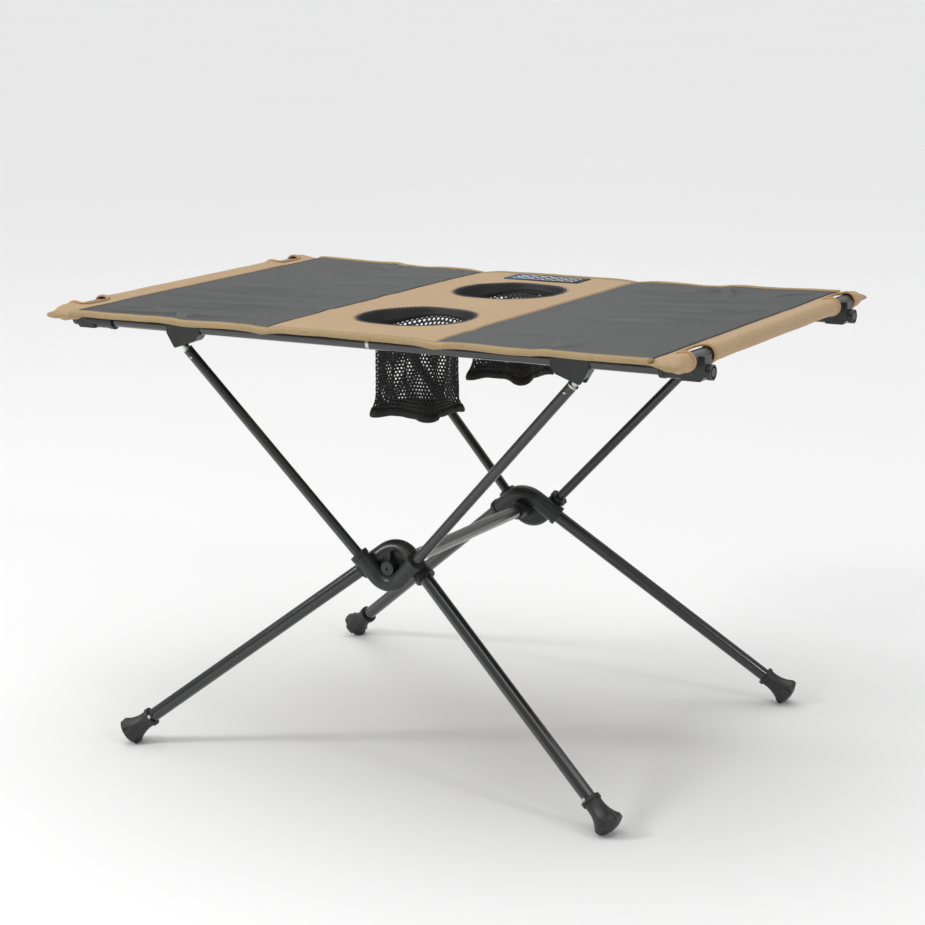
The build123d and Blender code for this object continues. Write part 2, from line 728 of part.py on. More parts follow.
def hub_screws():
    """The screw through each hub's boss into the centre bar."""
    face = HUB_Y + HUB_BOSS_OUT
    with BuildPart() as piece:
        for sy in SIDES.values():
            outside = Plane(origin=(0, sy * face, HUB_Z), z_dir=(0, -sy, 0))
            with BuildSketch(outside):
                Circle(SCREW_HEAD_R)
            extrude(amount=SCREW_HEAD)
            with BuildSketch(outside):
                Circle(SCREW_R)
            extrude(amount=face - bar_end + PLUG_LONG / 2)
            with BuildSketch(outside):
                Circle(SCREW_DIMPLE_R)
            extrude(amount=SCREW_DIMPLE, mode=Mode.SUBTRACT)
    return piece


def upper_cord(sy):
    """The elastic cord through both upper poles of a hub, round the bend between them."""
    distance = reach(*upper_axis(1, sy)) - TIP_LONG - TIP_RING - PLUG_LONG
    return bent_rod(upper_axis, sy, distance, CORD_BEND_UPPER, CORD_OD / 2)


def lower_cord(sy):
    """The elastic cord through both lower legs of a hub, round the bend between them."""
    distance = reach(*lower_axis(1, sy)) - BOOT_FLOOR
    return bent_rod(lower_axis, sy, distance, CORD_BEND_LOWER, CORD_OD / 2)


# ---- joints' sizes that the brackets depend on
TOP_LIFT = 120.0
POLE_PULL = 36.0
POLE_RATIO = POLE_PULL / TOP_LIFT


def write_top():
    write_piece(panel(-CENTRE_HALF, CENTRE_HALF, (-cup_y, cup_y)), "centre_panel")
    write_piece(panel(-seam_x, -CENTRE_HALF, ()), "left_panel")
    write_piece(panel(CENTRE_HALF, seam_x, ()), "right_panel")
    write_piece(notch_bindings(), "notch_bindings")
    write_piece(label_patch(), "label_patch")
    write_piece(end_pole_caps(), "end_pole_caps")
    write_piece(connector_buttons(), "connector_buttons")
    for name, sx in ENDS.items():
        write_piece(sleeve(sx), f"{name}_sleeve")
        write_piece(end_pole(sx), f"{name}_end_pole")
    for name, sy in SIDES.items():
        write_piece(edge_binding(sy), f"{name}_edge_binding")
        write_piece(cup_facing(sy), f"{name}_cup_facing")
        write_piece(cup_pocket(sy), f"{name}_cup_pocket")
        write_piece(side_ferrule(sy), f"{name}_side_ferrule")
        write_piece(side_cord(sy), f"{name}_side_cord")


def write_corners():
    connector = corner_connector()
    bracket = leg_bracket(pole_travel())
    rubber_boot = boot()
    for name, (sx, sy) in CORNERS.items():
        write_piece(mirrored(connector, sx, sy), f"{name}_connector")
        write_piece(mirrored(bracket, sx, sy), f"{name}_leg_bracket")
        write_piece(side_pole(sx, sy), f"{name}_side_pole")
        write_piece(upper_pole(sx, sy), f"{name}_upper_pole")
        write_piece(pole_tip(sx, sy), f"{name}_pole_tip")
        write_piece(lower_leg(sx, sy), f"{name}_lower_leg")
        write_piece(foot(rubber_boot, sx, sy), f"{name}_foot")


def write_hubs():
    rear_hub = hub()
    for name, sy in SIDES.items():
        write_piece(mirrored(rear_hub, 1, sy), f"{name}_hub")
        write_piece(upper_cord(sy), f"{name}_upper_cord")
        write_piece(lower_cord(sy), f"{name}_lower_cord")
    write_piece(centre_bar(), "centre_bar")
    write_piece(bar_plugs(), "bar_plugs")
    write_piece(hub_screws(), "hub_screws")


write_top()
write_corners()
write_hubs()
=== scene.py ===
"""Looks of a camp kitchen table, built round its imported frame: metres, +X along the table, +Z up."""

from __future__ import annotations

import json
import logging
import math
import random
from dataclasses import dataclass, field
from enum import Enum
from typing import Callable, Iterable, Sequence

import bmesh
import bpy
from mathutils import Matrix, Vector, noise
from mathutils.geometry import delaunay_2d_cdt

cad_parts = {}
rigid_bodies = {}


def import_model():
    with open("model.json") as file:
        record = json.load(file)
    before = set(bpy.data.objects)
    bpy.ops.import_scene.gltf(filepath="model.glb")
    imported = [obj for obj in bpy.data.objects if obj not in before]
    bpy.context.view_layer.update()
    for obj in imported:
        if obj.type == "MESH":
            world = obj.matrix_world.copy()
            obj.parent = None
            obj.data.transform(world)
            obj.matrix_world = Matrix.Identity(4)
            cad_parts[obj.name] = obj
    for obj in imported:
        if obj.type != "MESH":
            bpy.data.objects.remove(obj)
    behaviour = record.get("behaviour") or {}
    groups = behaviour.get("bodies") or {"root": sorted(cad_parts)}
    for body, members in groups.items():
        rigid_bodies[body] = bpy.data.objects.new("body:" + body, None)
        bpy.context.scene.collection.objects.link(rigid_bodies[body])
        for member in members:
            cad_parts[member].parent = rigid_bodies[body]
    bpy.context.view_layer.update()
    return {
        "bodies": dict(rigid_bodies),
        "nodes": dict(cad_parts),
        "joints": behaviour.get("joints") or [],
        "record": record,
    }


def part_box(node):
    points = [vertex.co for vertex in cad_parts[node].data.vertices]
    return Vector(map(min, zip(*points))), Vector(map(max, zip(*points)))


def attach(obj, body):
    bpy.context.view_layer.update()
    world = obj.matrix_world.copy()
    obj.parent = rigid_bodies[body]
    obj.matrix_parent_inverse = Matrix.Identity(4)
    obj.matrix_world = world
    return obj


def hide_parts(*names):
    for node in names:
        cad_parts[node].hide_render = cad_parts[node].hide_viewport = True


LOG = logging.getLogger("camp_table")
MM = 0.001
TOP = "table_top"
CORNERS = {"front_left": (-1, -1), "front_right": (1, -1), "rear_left": (-1, 1), "rear_right": (1, 1)}
SIDES = {"front": -1, "rear": 1}
ENDS = {"left": -1, "right": 1}
FLOOR_LIFT = {"front": 0.8 * MM, "rear": 6.5 * MM}  # how far a pocket's floor is above its packed one
FOLD_SEED = {"front": 3.0, "rear": 8.0}


def smooth(t: float) -> float:
    """Eases t from 0 to 1, and holds it outside that range."""
    t = min(max(t, 0.0), 1.0)
    return t * t * (3 - 2 * t)


def blend(a: float, b: float, t: float) -> float:
    """The value a share t of the way from a to b."""
    return a + (b - a) * t


def bell(distance: float, width: float) -> float:
    """A soft hump, 1 in the middle and near 0 past twice its width."""
    return math.exp(-((distance / width) ** 2))


# ---------------------------------------------------------------- node trees


class Graph:
    """Adds nodes to one tree and links them by socket name."""

    def __init__(self, tree: bpy.types.NodeTree) -> None:
        """Keeps the tree that is added to."""
        self.tree = tree

    def node(self, kind: str, inputs: dict | None = None, **settings: object) -> bpy.types.Node:
        """Adds one node.

        Args:
            kind: Blender's name of the node type.
            inputs: What goes into its sockets, each a value or another node's output.
            **settings: Properties of the node itself.

        Returns:
            The new node.
        """
        made = self.tree.nodes.new(kind)
        for name, value in settings.items():
            setattr(made, name, value)
        for key, value in (inputs or {}).items():
            if isinstance(value, bpy.types.NodeSocket):
                self.tree.links.new(value, made.inputs[key])
            else:
                made.inputs[key].default_value = value
        return made

    def math(self, operation: str, a: object, b: object = 0.0) -> bpy.types.NodeSocket:
        """The result of one sum on two numbers or sockets."""
        return self.node("ShaderNodeMath", {0: a, 1: b}, operation=operation).outputs[0]

    def mix(self, factor: object, a: object, b: object) -> bpy.types.NodeSocket:
        """The colour between a and b."""
        return self.node("ShaderNodeMix", {0: factor, 6: a, 7: b}, data_type="RGBA").outputs[2]

    def ramp(
        self, value: object, low: float, high: float, to_low: float = 0.0, to_high: float = 1.0
    ) -> bpy.types.NodeSocket:
        """A value moved from one range to another, and held at its ends."""
        inputs = {"Value": value, "From Min": low, "From Max": high, "To Min": to_low, "To Max": to_high}
        return self.node("ShaderNodeMapRange", inputs).outputs[0]

    def group(self, tree: bpy.types.NodeTree, inputs: dict) -> bpy.types.Node:
        """Places a node group with its own values.

        Args:
            tree: The group.
            inputs: What goes into its sockets, each a value or another node's output.

        Returns:
            The new node.
        """
        made = self.tree.nodes.new(f"{self.tree.bl_idname[:-4]}Group")
        made.node_tree = tree
        for key, value in inputs.items():
            if isinstance(value, bpy.types.NodeSocket):
                self.tree.links.new(value, made.inputs[key])
            else:
                made.inputs[key].default_value = value
        return made


def shader_group(
    name: str, inputs: dict[str, str], outputs: Sequence[str]
) -> tuple[bpy.types.NodeTree, Graph, dict, bpy.types.Node]:
    """Starts a shader node group.

    Args:
        name: The group's name.
        inputs: Each input's name and socket type.
        outputs: Names of its outputs, all numbers.

    Returns:
        The tree, its graph, its inputs by name and its output node.
    """
    tree = bpy.data.node_groups.new(name, "ShaderNodeTree")
    for key, kind in inputs.items():
        tree.interface.new_socket(name=key, in_out="INPUT", socket_type=kind)
    for key in outputs:
        tree.interface.new_socket(name=key, in_out="OUTPUT", socket_type="NodeSocketFloat")
    graph = Graph(tree)
    entry = graph.node("NodeGroupInput")
    return tree, graph, {key: entry.outputs[key] for key in inputs}, graph.node("NodeGroupOutput")


class Effects:
    """Shader groups that several finishes share."""

    def __init__(self) -> None:
        """Builds the three groups."""
        self.weave = self._weave()
        self.grain = self._grain()
        self.handling = self._handling()

    @staticmethod
    def _weave() -> bpy.types.NodeTree:
        """Threads that cross over and under, with a slight slub.

        Returns:
            The group's tree.
        """
        tree, g, given, out = shader_group(
            "thread_weave", {"Vector": "NodeSocketVector", "Pitch": "NodeSocketFloat"}, ("Height", "Slub")
        )
        turns = g.math("DIVIDE", math.pi, given["Pitch"])
        place = g.node("ShaderNodeSeparateXYZ", {0: given["Vector"]})
        across = g.math("SINE", g.math("MULTIPLY", place.outputs[0], turns))
        along = g.math("SINE", g.math("MULTIPLY", place.outputs[1], turns))
        crossing = g.math("MULTIPLY", across, along)
        stretched = g.node(
            "ShaderNodeVectorMath", {0: given["Vector"], 1: (900.0, 120.0, 500.0)}, operation="MULTIPLY"
        )
        slub = g.node("ShaderNodeTexNoise", {"Vector": stretched.outputs[0], "Scale": 1.0, "Detail": 3.0})
        height = g.math("ADD", g.math("MULTIPLY", crossing, 0.35), slub.outputs[0])
        g.tree.links.new(height, out.inputs["Height"])
        g.tree.links.new(slub.outputs[0], out.inputs["Slub"])
        return tree

    @staticmethod
    def _grain() -> bpy.types.NodeTree:
        """Fine and coarse grain of a moulded or coated surface.

        Returns:
            The group's tree.
        """
        tree, g, given, out = shader_group(
            "fine_grain", {"Vector": "NodeSocketVector", "Size": "NodeSocketFloat"}, ("Height", "Mottle")
        )
        scale = g.math("DIVIDE", 1.0, given["Size"])
        fine = g.node(
            "ShaderNodeTexNoise",
            {"Vector": given["Vector"], "Scale": scale, "Detail": 4.0, "Roughness": 0.6},
        )
        cells = g.node(
            "ShaderNodeTexVoronoi", {"Vector": given["Vector"], "Scale": g.math("MULTIPLY", scale, 0.7)}
        )
        coarse = g.node("ShaderNodeTexNoise", {"Vector": given["Vector"], "Scale": 38.0, "Detail": 5.0})
        height = g.math("ADD", fine.outputs[0], g.math("MULTIPLY", cells.outputs[0], 0.4))
        g.tree.links.new(height, out.inputs["Height"])
        g.tree.links.new(coarse.outputs[0], out.inputs["Mottle"])
        return tree

    @staticmethod
    def _handling() -> bpy.types.NodeTree:
        """Faint rubs and dust left by use.

        Returns:
            The group's tree.
        """
        tree, g, given, out = shader_group(
            "handling_marks", {"Vector": "NodeSocketVector", "Amount": "NodeSocketFloat"}, ("Rub", "Dust")
        )
        patches = g.node(
            "ShaderNodeTexNoise",
            {"Vector": given["Vector"], "Scale": 22.0, "Detail": 6.0, "Roughness": 0.65},
        )
        specks = g.node("ShaderNodeTexNoise", {"Vector": given["Vector"], "Scale": 900.0, "Detail": 2.0})
        rub = g.math("MULTIPLY", g.ramp(patches.outputs[0], 0.5, 0.78), given["Amount"])
        dust = g.math("MULTIPLY", g.ramp(specks.outputs[0], 0.62, 0.75), given["Amount"])
        g.tree.links.new(rub, out.inputs["Rub"])
        g.tree.links.new(dust, out.inputs["Dust"])
        return tree


# ---------------------------------------------------------------- finishes

Colour = tuple[float, float, float]


def opaque(colour: Colour) -> tuple[float, float, float, float]:
    """A colour with full alpha."""
    return (*colour, 1.0)


def start_material(name: str) -> tuple[bpy.types.Material, Graph, bpy.types.Node]:
    """A material with only its Principled shader and output, its graph and that shader.

    Args:
        name: The material's name.

    Returns:
        The material, its graph and its shader.
    """
    material = bpy.data.materials.new(name)
    material.use_nodes = True
    shader = next(n for n in material.node_tree.nodes if n.type == "BSDF_PRINCIPLED")
    return material, Graph(material.node_tree), shader


@dataclass(frozen=True)
class ClothFinish:
    """A woven cloth; its pattern follows the piece's own flat coordinates.

    Attributes:
        name: The material's name.
        colour: Colour of the raised threads.
        shade: Colour between them: painted shade in the weave's low places, varied at random by the slub.
        pitch: From thread to thread, in metres.
        roughness: Of the lit surface, before the slub varies it.
        sheen: Strength of the soft sheen at grazing angles.
        bump: Height of the threads, in metres.
        coat: Strength of a thin coating.
    """

    name: str
    colour: Colour
    shade: Colour
    pitch: float
    roughness: float
    sheen: float
    bump: float
    coat: float = 0.0

    def build(self, effects: Effects) -> bpy.types.Material:
        """Makes the material from the shared effects.

        Args:
            effects: The groups that finishes share.

        Returns:
            The material.
        """
        material, g, shader = start_material(self.name)
        flat = g.node("ShaderNodeUVMap", uv_map="flat")
        place = g.node("ShaderNodeTexCoord")
        weave = g.group(effects.weave, {"Vector": flat.outputs[0], "Pitch": self.pitch})
        marks = g.group(effects.handling, {"Vector": place.outputs["Object"], "Amount": 0.5})
        # Painted shade: where the weave lies low, between the threads and in thin slubs, the cloth takes the
        # darker shade colour.
        threads = g.mix(g.ramp(weave.outputs["Height"], 0.2, 0.85), opaque(self.shade), opaque(self.colour))
        lighter = tuple(min(c * 1.18 + 0.004, 1.0) for c in self.colour)
        colour = g.mix(g.math("MULTIPLY", marks.outputs["Rub"], 0.45), threads, opaque(lighter))
        rough = g.ramp(weave.outputs["Slub"], 0.3, 0.7, self.roughness - 0.06, self.roughness + 0.06)
        bump = g.node(
            "ShaderNodeBump", {"Height": weave.outputs["Height"], "Distance": self.bump, "Strength": 0.7}
        )
        g.tree.links.new(colour, shader.inputs["Base Color"])
        g.tree.links.new(rough, shader.inputs["Roughness"])
        g.tree.links.new(bump.outputs[0], shader.inputs["Normal"])
        shader.inputs["Sheen Weight"].default_value = self.sheen
        shader.inputs["Sheen Roughness"].default_value = 0.5
        shader.inputs["Coat Weight"].default_value = self.coat
        shader.inputs["Coat Roughness"].default_value = 0.45
        return material


@dataclass(frozen=True)
class TubeFinish:
    """An anodised or bare aluminium tube.

    Attributes:
        name: The material's name.
        colour: Colour of the metal.
        worn: Colour where it has been rubbed.
        metallic: How much of it reflects as metal.
        roughness: Of the untouched surface.
        wear: Strength of the rubs.
        coat: Strength of the clear layer over it.
    """

    name: str
    colour: Colour
    worn: Colour
    metallic: float
    roughness: float
    wear: float
    coat: float = 0.0

    def build(self, effects: Effects) -> bpy.types.Material:
        """Makes the material from the shared effects.

        Args:
            effects: The groups that finishes share.

        Returns:
            The material.
        """
        material, g, shader = start_material(self.name)
        place = g.node("ShaderNodeTexCoord").outputs["Object"]
        grain = g.group(effects.grain, {"Vector": place, "Size": 0.0007})
        marks = g.group(effects.handling, {"Vector": place, "Amount": self.wear})
        worn = g.mix(g.math("MULTIPLY", marks.outputs["Rub"], 0.5), opaque(self.colour), opaque(self.worn))
        colour = g.mix(g.math("MULTIPLY", marks.outputs["Dust"], 0.25), worn, (0.5, 0.48, 0.44, 1.0))
        mottle = g.ramp(grain.outputs["Mottle"], 0.3, 0.7, -0.04, 0.05)
        rough = g.math(
            "ADD", g.math("ADD", mottle, self.roughness), g.math("MULTIPLY", marks.outputs["Rub"], 0.12)
        )
        bump = g.node(
            "ShaderNodeBump", {"Height": grain.outputs["Height"], "Distance": 0.00002, "Strength": 0.35}
        )
        g.tree.links.new(colour, shader.inputs["Base Color"])
        g.tree.links.new(rough, shader.inputs["Roughness"])
        g.tree.links.new(bump.outputs[0], shader.inputs["Normal"])
        shader.inputs["Metallic"].default_value = self.metallic
        shader.inputs["Coat Weight"].default_value = self.coat
        shader.inputs["Coat Roughness"].default_value = 0.07
        return material


@dataclass(frozen=True)
class MouldedFinish:
    """A moulded plastic or rubber with a fine texture.

    Attributes:
        name: The material's name.
        colour: Colour of the moulding.
        pale: Colour of its rubbed high places.
        roughness: Of the untouched surface.
        grain: Size of the texture, in metres.
        relief: Height of the texture, in metres.
    """

    name: str
    colour: Colour
    pale: Colour
    roughness: float
    grain: float
    relief: float

    def build(self, effects: Effects) -> bpy.types.Material:
        """Makes the material from the shared effects.

        Args:
            effects: The groups that finishes share.

        Returns:
            The material.
        """
        material, g, shader = start_material(self.name)
        place = g.node("ShaderNodeTexCoord").outputs["Object"]
        grain = g.group(effects.grain, {"Vector": place, "Size": self.grain})
        marks = g.group(effects.handling, {"Vector": place, "Amount": 0.7})
        base = g.mix(g.ramp(grain.outputs["Mottle"], 0.35, 0.7), opaque(self.colour), opaque(self.pale))
        colour = g.mix(g.math("MULTIPLY", marks.outputs["Dust"], 0.3), base, (0.42, 0.39, 0.34, 1.0))
        rough = g.math("SUBTRACT", self.roughness, g.math("MULTIPLY", marks.outputs["Rub"], 0.18))
        bump = g.node(
            "ShaderNodeBump", {"Height": grain.outputs["Height"], "Distance": self.relief, "Strength": 0.6}
        )
        g.tree.links.new(colour, shader.inputs["Base Color"])
        g.tree.links.new(rough, shader.inputs["Roughness"])
        g.tree.links.new(bump.outputs[0], shader.inputs["Normal"])
        return material


@dataclass(frozen=True)
class CordFinish:
    """Braided elastic cord: two sets of crossing strands.

    Attributes:
        name: The material's name.
        colour: Colour of the strands.
        crest_highlight: Painted highlight: the colour of their highest places, with the hollows left in the
            darker colour.
    """

    name: str
    colour: Colour
    crest_highlight: Colour

    def build(self, effects: Effects) -> bpy.types.Material:
        """Makes the material from the shared effects.

        Args:
            effects: The groups that finishes share.

        Returns:
            The material.
        """
        material, g, shader = start_material(self.name)
        place = g.node("ShaderNodeTexCoord").outputs["Object"]
        braid = g.node("ShaderNodeTexVoronoi", {"Vector": place, "Scale": 1400.0, "Randomness": 0.35})
        grain = g.group(effects.grain, {"Vector": place, "Size": 0.0004})
        # Painted highlight and shade: the braid's raised places take the lighter colour, its hollows the
        # darker one.
        colour = g.mix(g.ramp(braid.outputs["Distance"], 0.2, 0.6), opaque(self.colour), opaque(self.crest_highlight))
        height = g.math("ADD", braid.outputs["Distance"], g.math("MULTIPLY", grain.outputs["Height"], 0.3))
        bump = g.node("ShaderNodeBump", {"Height": height, "Distance": 0.0002})
        g.tree.links.new(colour, shader.inputs["Base Color"])
        g.tree.links.new(bump.outputs[0], shader.inputs["Normal"])
        shader.inputs["Roughness"].default_value = 0.8
        return material


@dataclass(frozen=True)
class PatchFinish:
    """A woven patch with plain waves and no lettering, on flat coordinates from its middle.

    Attributes:
        name: The material's name.
        ground: Colour of the longer part.
        band: Colour of the shorter part.
        wave: Colour of the waves.
        half_length: Half the patch's length.
        half_width: Half its width.
    """

    name: str
    ground: Colour
    band: Colour
    wave: Colour
    half_length: float
    half_width: float

    def build(self, effects: Effects) -> bpy.types.Material:
        """Makes the material from the shared effects.

        Args:
            effects: The groups that finishes share.

        Returns:
            The material.
        """
        material, g, shader = start_material(self.name)
        flat = g.node("ShaderNodeUVMap", uv_map="flat").outputs[0]
        weave = g.group(effects.weave, {"Vector": flat, "Pitch": 0.0005})
        place = g.node("ShaderNodeSeparateXYZ", {0: flat})
        along, across = place.outputs[0], place.outputs[1]
        swing = g.math("MULTIPLY", g.math("SINE", g.math("MULTIPLY", along, 620.0)), 0.0016)
        rows = g.math("MULTIPLY", g.math("ADD", across, swing), 2 * math.pi / 0.0085)
        crest = g.ramp(g.math("COSINE", rows), 0.55, 0.7)
        inside = g.ramp(g.math("ABSOLUTE", along), self.half_length * 0.86, self.half_length * 0.83)
        between = g.ramp(g.math("ABSOLUTE", across), self.half_width * 0.72, self.half_width * 0.68)
        mask = g.math("MULTIPLY", g.math("MULTIPLY", crest, inside), between)
        parting = g.ramp(along, -self.half_length * 0.3, -self.half_length * 0.36)
        ground = g.mix(parting, opaque(self.ground), opaque(self.band))
        g.tree.links.new(g.mix(mask, ground, opaque(self.wave)), shader.inputs["Base Color"])
        bump = g.node("ShaderNodeBump", {"Height": weave.outputs["Height"], "Distance": 0.00015})
        g.tree.links.new(bump.outputs[0], shader.inputs["Normal"])
        shader.inputs["Roughness"].default_value = 0.62
        return material


class Finish(Enum):
    """Every finish on the table."""

    TAN = ClothFinish(
        "tan_cloth_finish", (0.505, 0.355, 0.208), (0.415, 0.285, 0.16), 0.0007, 0.85, 0.05, 0.00014
    )
    BLACK = ClothFinish(
        "black_cloth_finish", (0.017, 0.0215, 0.0205), (0.014, 0.0175, 0.017), 0.0005, 0.32, 0.0, 0.000004
    )
    TAPE = ClothFinish(
        "edge_tape_finish", (0.50, 0.37, 0.195), (0.33, 0.23, 0.11), 0.0011, 0.85, 0.05, 0.0004
    )
    PIPING = ClothFinish(
        "notch_piping_finish", (0.58, 0.35, 0.165), (0.40, 0.23, 0.1), 0.0009, 0.8, 0.05, 0.0003
    )
    FACING = ClothFinish(
        "facing_cloth_finish", (0.026, 0.026, 0.026), (0.017, 0.017, 0.017), 0.0006, 0.6, 0.0, 0.00005
    )
    MESH = ClothFinish(
        "mesh_cloth_finish", (0.009, 0.009, 0.009), (0.005, 0.005, 0.005), 0.0006, 0.75, 0.0, 0.00012
    )
    TAN_THREAD = ClothFinish(
        "tan_thread_finish", (0.50, 0.37, 0.22), (0.38, 0.27, 0.15), 0.0003, 0.7, 0.2, 0.00005
    )
    DARK_THREAD = ClothFinish(
        "dark_thread_finish", (0.05, 0.05, 0.052), (0.025, 0.025, 0.028), 0.0003, 0.7, 0.2, 0.00005
    )
    PATCH = PatchFinish(
        "patch_finish", (0.028, 0.034, 0.045), (0.035, 0.095, 0.17), (0.62, 0.66, 0.7), 0.0385, 0.0145
    )
    END_TUBE = TubeFinish("end_tube_finish", (0.20, 0.215, 0.225), (0.34, 0.35, 0.36), 0.85, 0.32, 0.4)
    BAR_TUBE = TubeFinish("bar_tube_finish", (0.24, 0.24, 0.235), (0.40, 0.40, 0.39), 1.0, 0.2, 0.35)
    DARK_TUBE = TubeFinish("dark_tube_finish", (0.024, 0.025, 0.026), (0.06, 0.06, 0.06), 0.4, 0.2, 0.25, 0.9)
    FERRULE = TubeFinish("ferrule_finish", (0.6, 0.6, 0.58), (0.5, 0.5, 0.5), 1.0, 0.24, 0.4)
    SCREW = TubeFinish("screw_finish", (0.06, 0.06, 0.062), (0.3, 0.3, 0.3), 0.9, 0.3, 0.6)
    NYLON = MouldedFinish("nylon_finish", (0.015, 0.016, 0.017), (0.024, 0.026, 0.027), 0.36, 0.0006, 0.00006)
    RUBBER = MouldedFinish(
        "rubber_finish", (0.014, 0.0145, 0.015), (0.026, 0.0265, 0.027), 0.46, 0.0009, 0.0001
    )
    CORD = CordFinish("elastic_cord_finish", (0.03, 0.03, 0.03), (0.09, 0.09, 0.09))


SLOT_FINISH = {
    "tan_cloth": Finish.TAN,
    "black_cloth": Finish.BLACK,
    "edge_tape": Finish.TAPE,
    "notch_piping": Finish.PIPING,
    "facing_cloth": Finish.FACING,
    "mesh_cloth": Finish.MESH,
    "patch": Finish.PATCH,
    "end_tube": Finish.END_TUBE,
    "bar_tube": Finish.BAR_TUBE,
    "dark_tube": Finish.DARK_TUBE,
    "ferrule": Finish.FERRULE,
    "nylon": Finish.NYLON,
    "rubber": Finish.RUBBER,
    "cord": Finish.CORD,
    "screw": Finish.SCREW,
}


class Palette:
    """The materials, each made once from its finish."""

    def __init__(self) -> None:
        """Builds the shared effects and every material."""
        effects = Effects()
        self._made = {finish: finish.value.build(effects) for finish in Finish}

    def of(self, finish: Finish) -> bpy.types.Material:
        """The material of a finish."""
        return self._made[finish]

    def dress_frame(self, frame: dict) -> None:
        """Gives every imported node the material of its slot.
        """
        for part in frame["record"]["subparts"]:
            mesh = frame["nodes"][part["node"]].data
            mesh.materials.clear()
            mesh.materials.append(self.of(SLOT_FINISH[part["material_slot"]]))


# ---------------------------------------------------------------- meshes


@dataclass
class Shell:
    """Points, faces and flat cloth coordinates, gathered before they become a mesh.

    Attributes:
        points: Where each point is.
        flat: Where each point lies on the flat cloth.
        faces: The points of each face, in order.
    """

    points: list[Vector] = field(default_factory=list)
    flat: list[tuple[float, float]] = field(default_factory=list)
    faces: list[tuple[int, ...]] = field(default_factory=list)

    def add_grid(
        self,
        rows: Sequence[Sequence[Vector]],
        flat: Sequence[Sequence[tuple[float, float]]],
        ring: bool = False,
    ) -> None:
        """Adds a sheet of quads.

        Args:
            rows: Points row by row, each row as long as the next.
            flat: Where each point lies on the flat cloth.
            ring: Whether each row closes on itself.
        """
        first, wide = len(self.points), len(rows[0])
        for points, places in zip(rows, flat):
            self.points.extend(points)
            self.flat.extend(places)
        for r in range(len(rows) - 1):
            for c in range(wide if ring else wide - 1):
                a, b = first + r * wide + c, first + r * wide + (c + 1) % wide
                self.faces.append((a, b, b + wide, a + wide))

    def add_fan(
        self, loop: Sequence[Vector], flat: Sequence[tuple[float, float]], turned: bool = False
    ) -> None:
        """Closes a loop with one many-sided face.

        Args:
            loop: Its points in order.
            flat: Where each point lies on the flat cloth.
            turned: Whether the face looks the other way.
        """
        first = len(self.points)
        self.points.extend(loop)
        self.flat.extend(flat)
        order = tuple(range(first, first + len(loop)))
        self.faces.append(order[::-1] if turned else order)

    def flat_area(self) -> float:
        """Area of the flat cloth that the faces were cut from.

        Returns:
            The area, in square metres.
        """
        total = 0.0
        for face in self.faces:
            ring = [self.flat[i] for i in face]
            pairs = zip(ring, ring[1:] + ring[:1])
            total += abs(sum(a[0] * b[1] - b[0] * a[1] for a, b in pairs)) / 2
        return total

    def object(
        self, name: str, material: bpy.types.Material, weld: bool = True, soft: bool = True
    ) -> bpy.types.Object:
        """Makes the object.

        Args:
            name: Its name.
            material: Its material.
            weld: Whether points that meet are joined and faces turned outwards.
            soft: Whether it is shaded smooth.

        Returns:
            The new object, at the origin.
        """
        mesh = bpy.data.meshes.new(name)
        mesh.from_pydata([tuple(p) for p in self.points], [], self.faces)
        layer = mesh.uv_layers.new(name="flat")
        for loop in mesh.loops:
            layer.data[loop.index].uv = self.flat[loop.vertex_index]
        mesh.materials.append(material)
        if weld:
            tidy(mesh)
        mesh.polygons.foreach_set("use_smooth", [soft] * len(mesh.polygons))
        made = bpy.data.objects.new(name, mesh)
        bpy.context.scene.collection.objects.link(made)
        return made


def tidy(mesh: bpy.types.Mesh, gap: float = 0.00001) -> None:
    """Joins points that meet and turns the faces outwards.

    Args:
        mesh: The mesh that is changed.
        gap: How near two points are when they meet.
    """
    work = bmesh.new()
    work.from_mesh(mesh)
    bmesh.ops.remove_doubles(work, verts=work.verts, dist=gap)
    bmesh.ops.recalc_face_normals(work, faces=work.faces)
    work.to_mesh(mesh)
    work.free()


def settle(made: bpy.types.Object) -> bpy.types.Object:
    """Replaces an object's mesh with what its modifiers make of it, and removes them.

    Args:
        made: The object.

    Returns:
        The same object.
    """
    bpy.context.view_layer.update()
    ready = made.evaluated_get(bpy.context.evaluated_depsgraph_get())
    mesh = bpy.data.meshes.new_from_object(ready)
    made.modifiers.clear()
    made.data = mesh
    return made


def thicken(made: bpy.types.Object, thickness: float, outwards: float = -1.0) -> bpy.types.Object:
    """Gives a sheet its thickness with closed rims, and applies it.

    Args:
        made: The sheet.
        thickness: Its thickness.
        outwards: Where it grows: 1 outwards, -1 inwards.

    Returns:
        The same object.
    """
    modifier = made.modifiers.new("thickness", "SOLIDIFY")
    modifier.thickness = thickness
    modifier.offset = outwards
    return settle(made)


def lathe(
    name: str,
    profile: Sequence[tuple[float, float]],
    at: Vector,
    axis: Vector,
    material: bpy.types.Material,
) -> bpy.types.Object:
    """A turned piece.

    Args:
        name: Its name.
        profile: Radius and height of its outline, from the foot to the middle of the top.
        at: Where its foot stands.
        axis: The way it points.
        material: Its material.

    Returns:
        The new object.
    """
    steps = 20
    turn = axis.to_track_quat("Z", "Y").to_matrix()
    shell = Shell()
    rows, flat = [], []
    for radius, height in profile:
        spokes = [2 * math.pi * k / steps for k in range(steps)]
        rows.append(
            [at + turn @ Vector((radius * math.cos(s), radius * math.sin(s), height)) for s in spokes]
        )
        flat.append([(radius * math.cos(s), radius * math.sin(s)) for s in spokes])
    shell.add_grid(rows, flat, ring=True)
    shell.add_fan(rows[0], flat[0], turned=True)
    shell.add_fan(rows[-1], flat[-1])
    return shell.object(name, material)


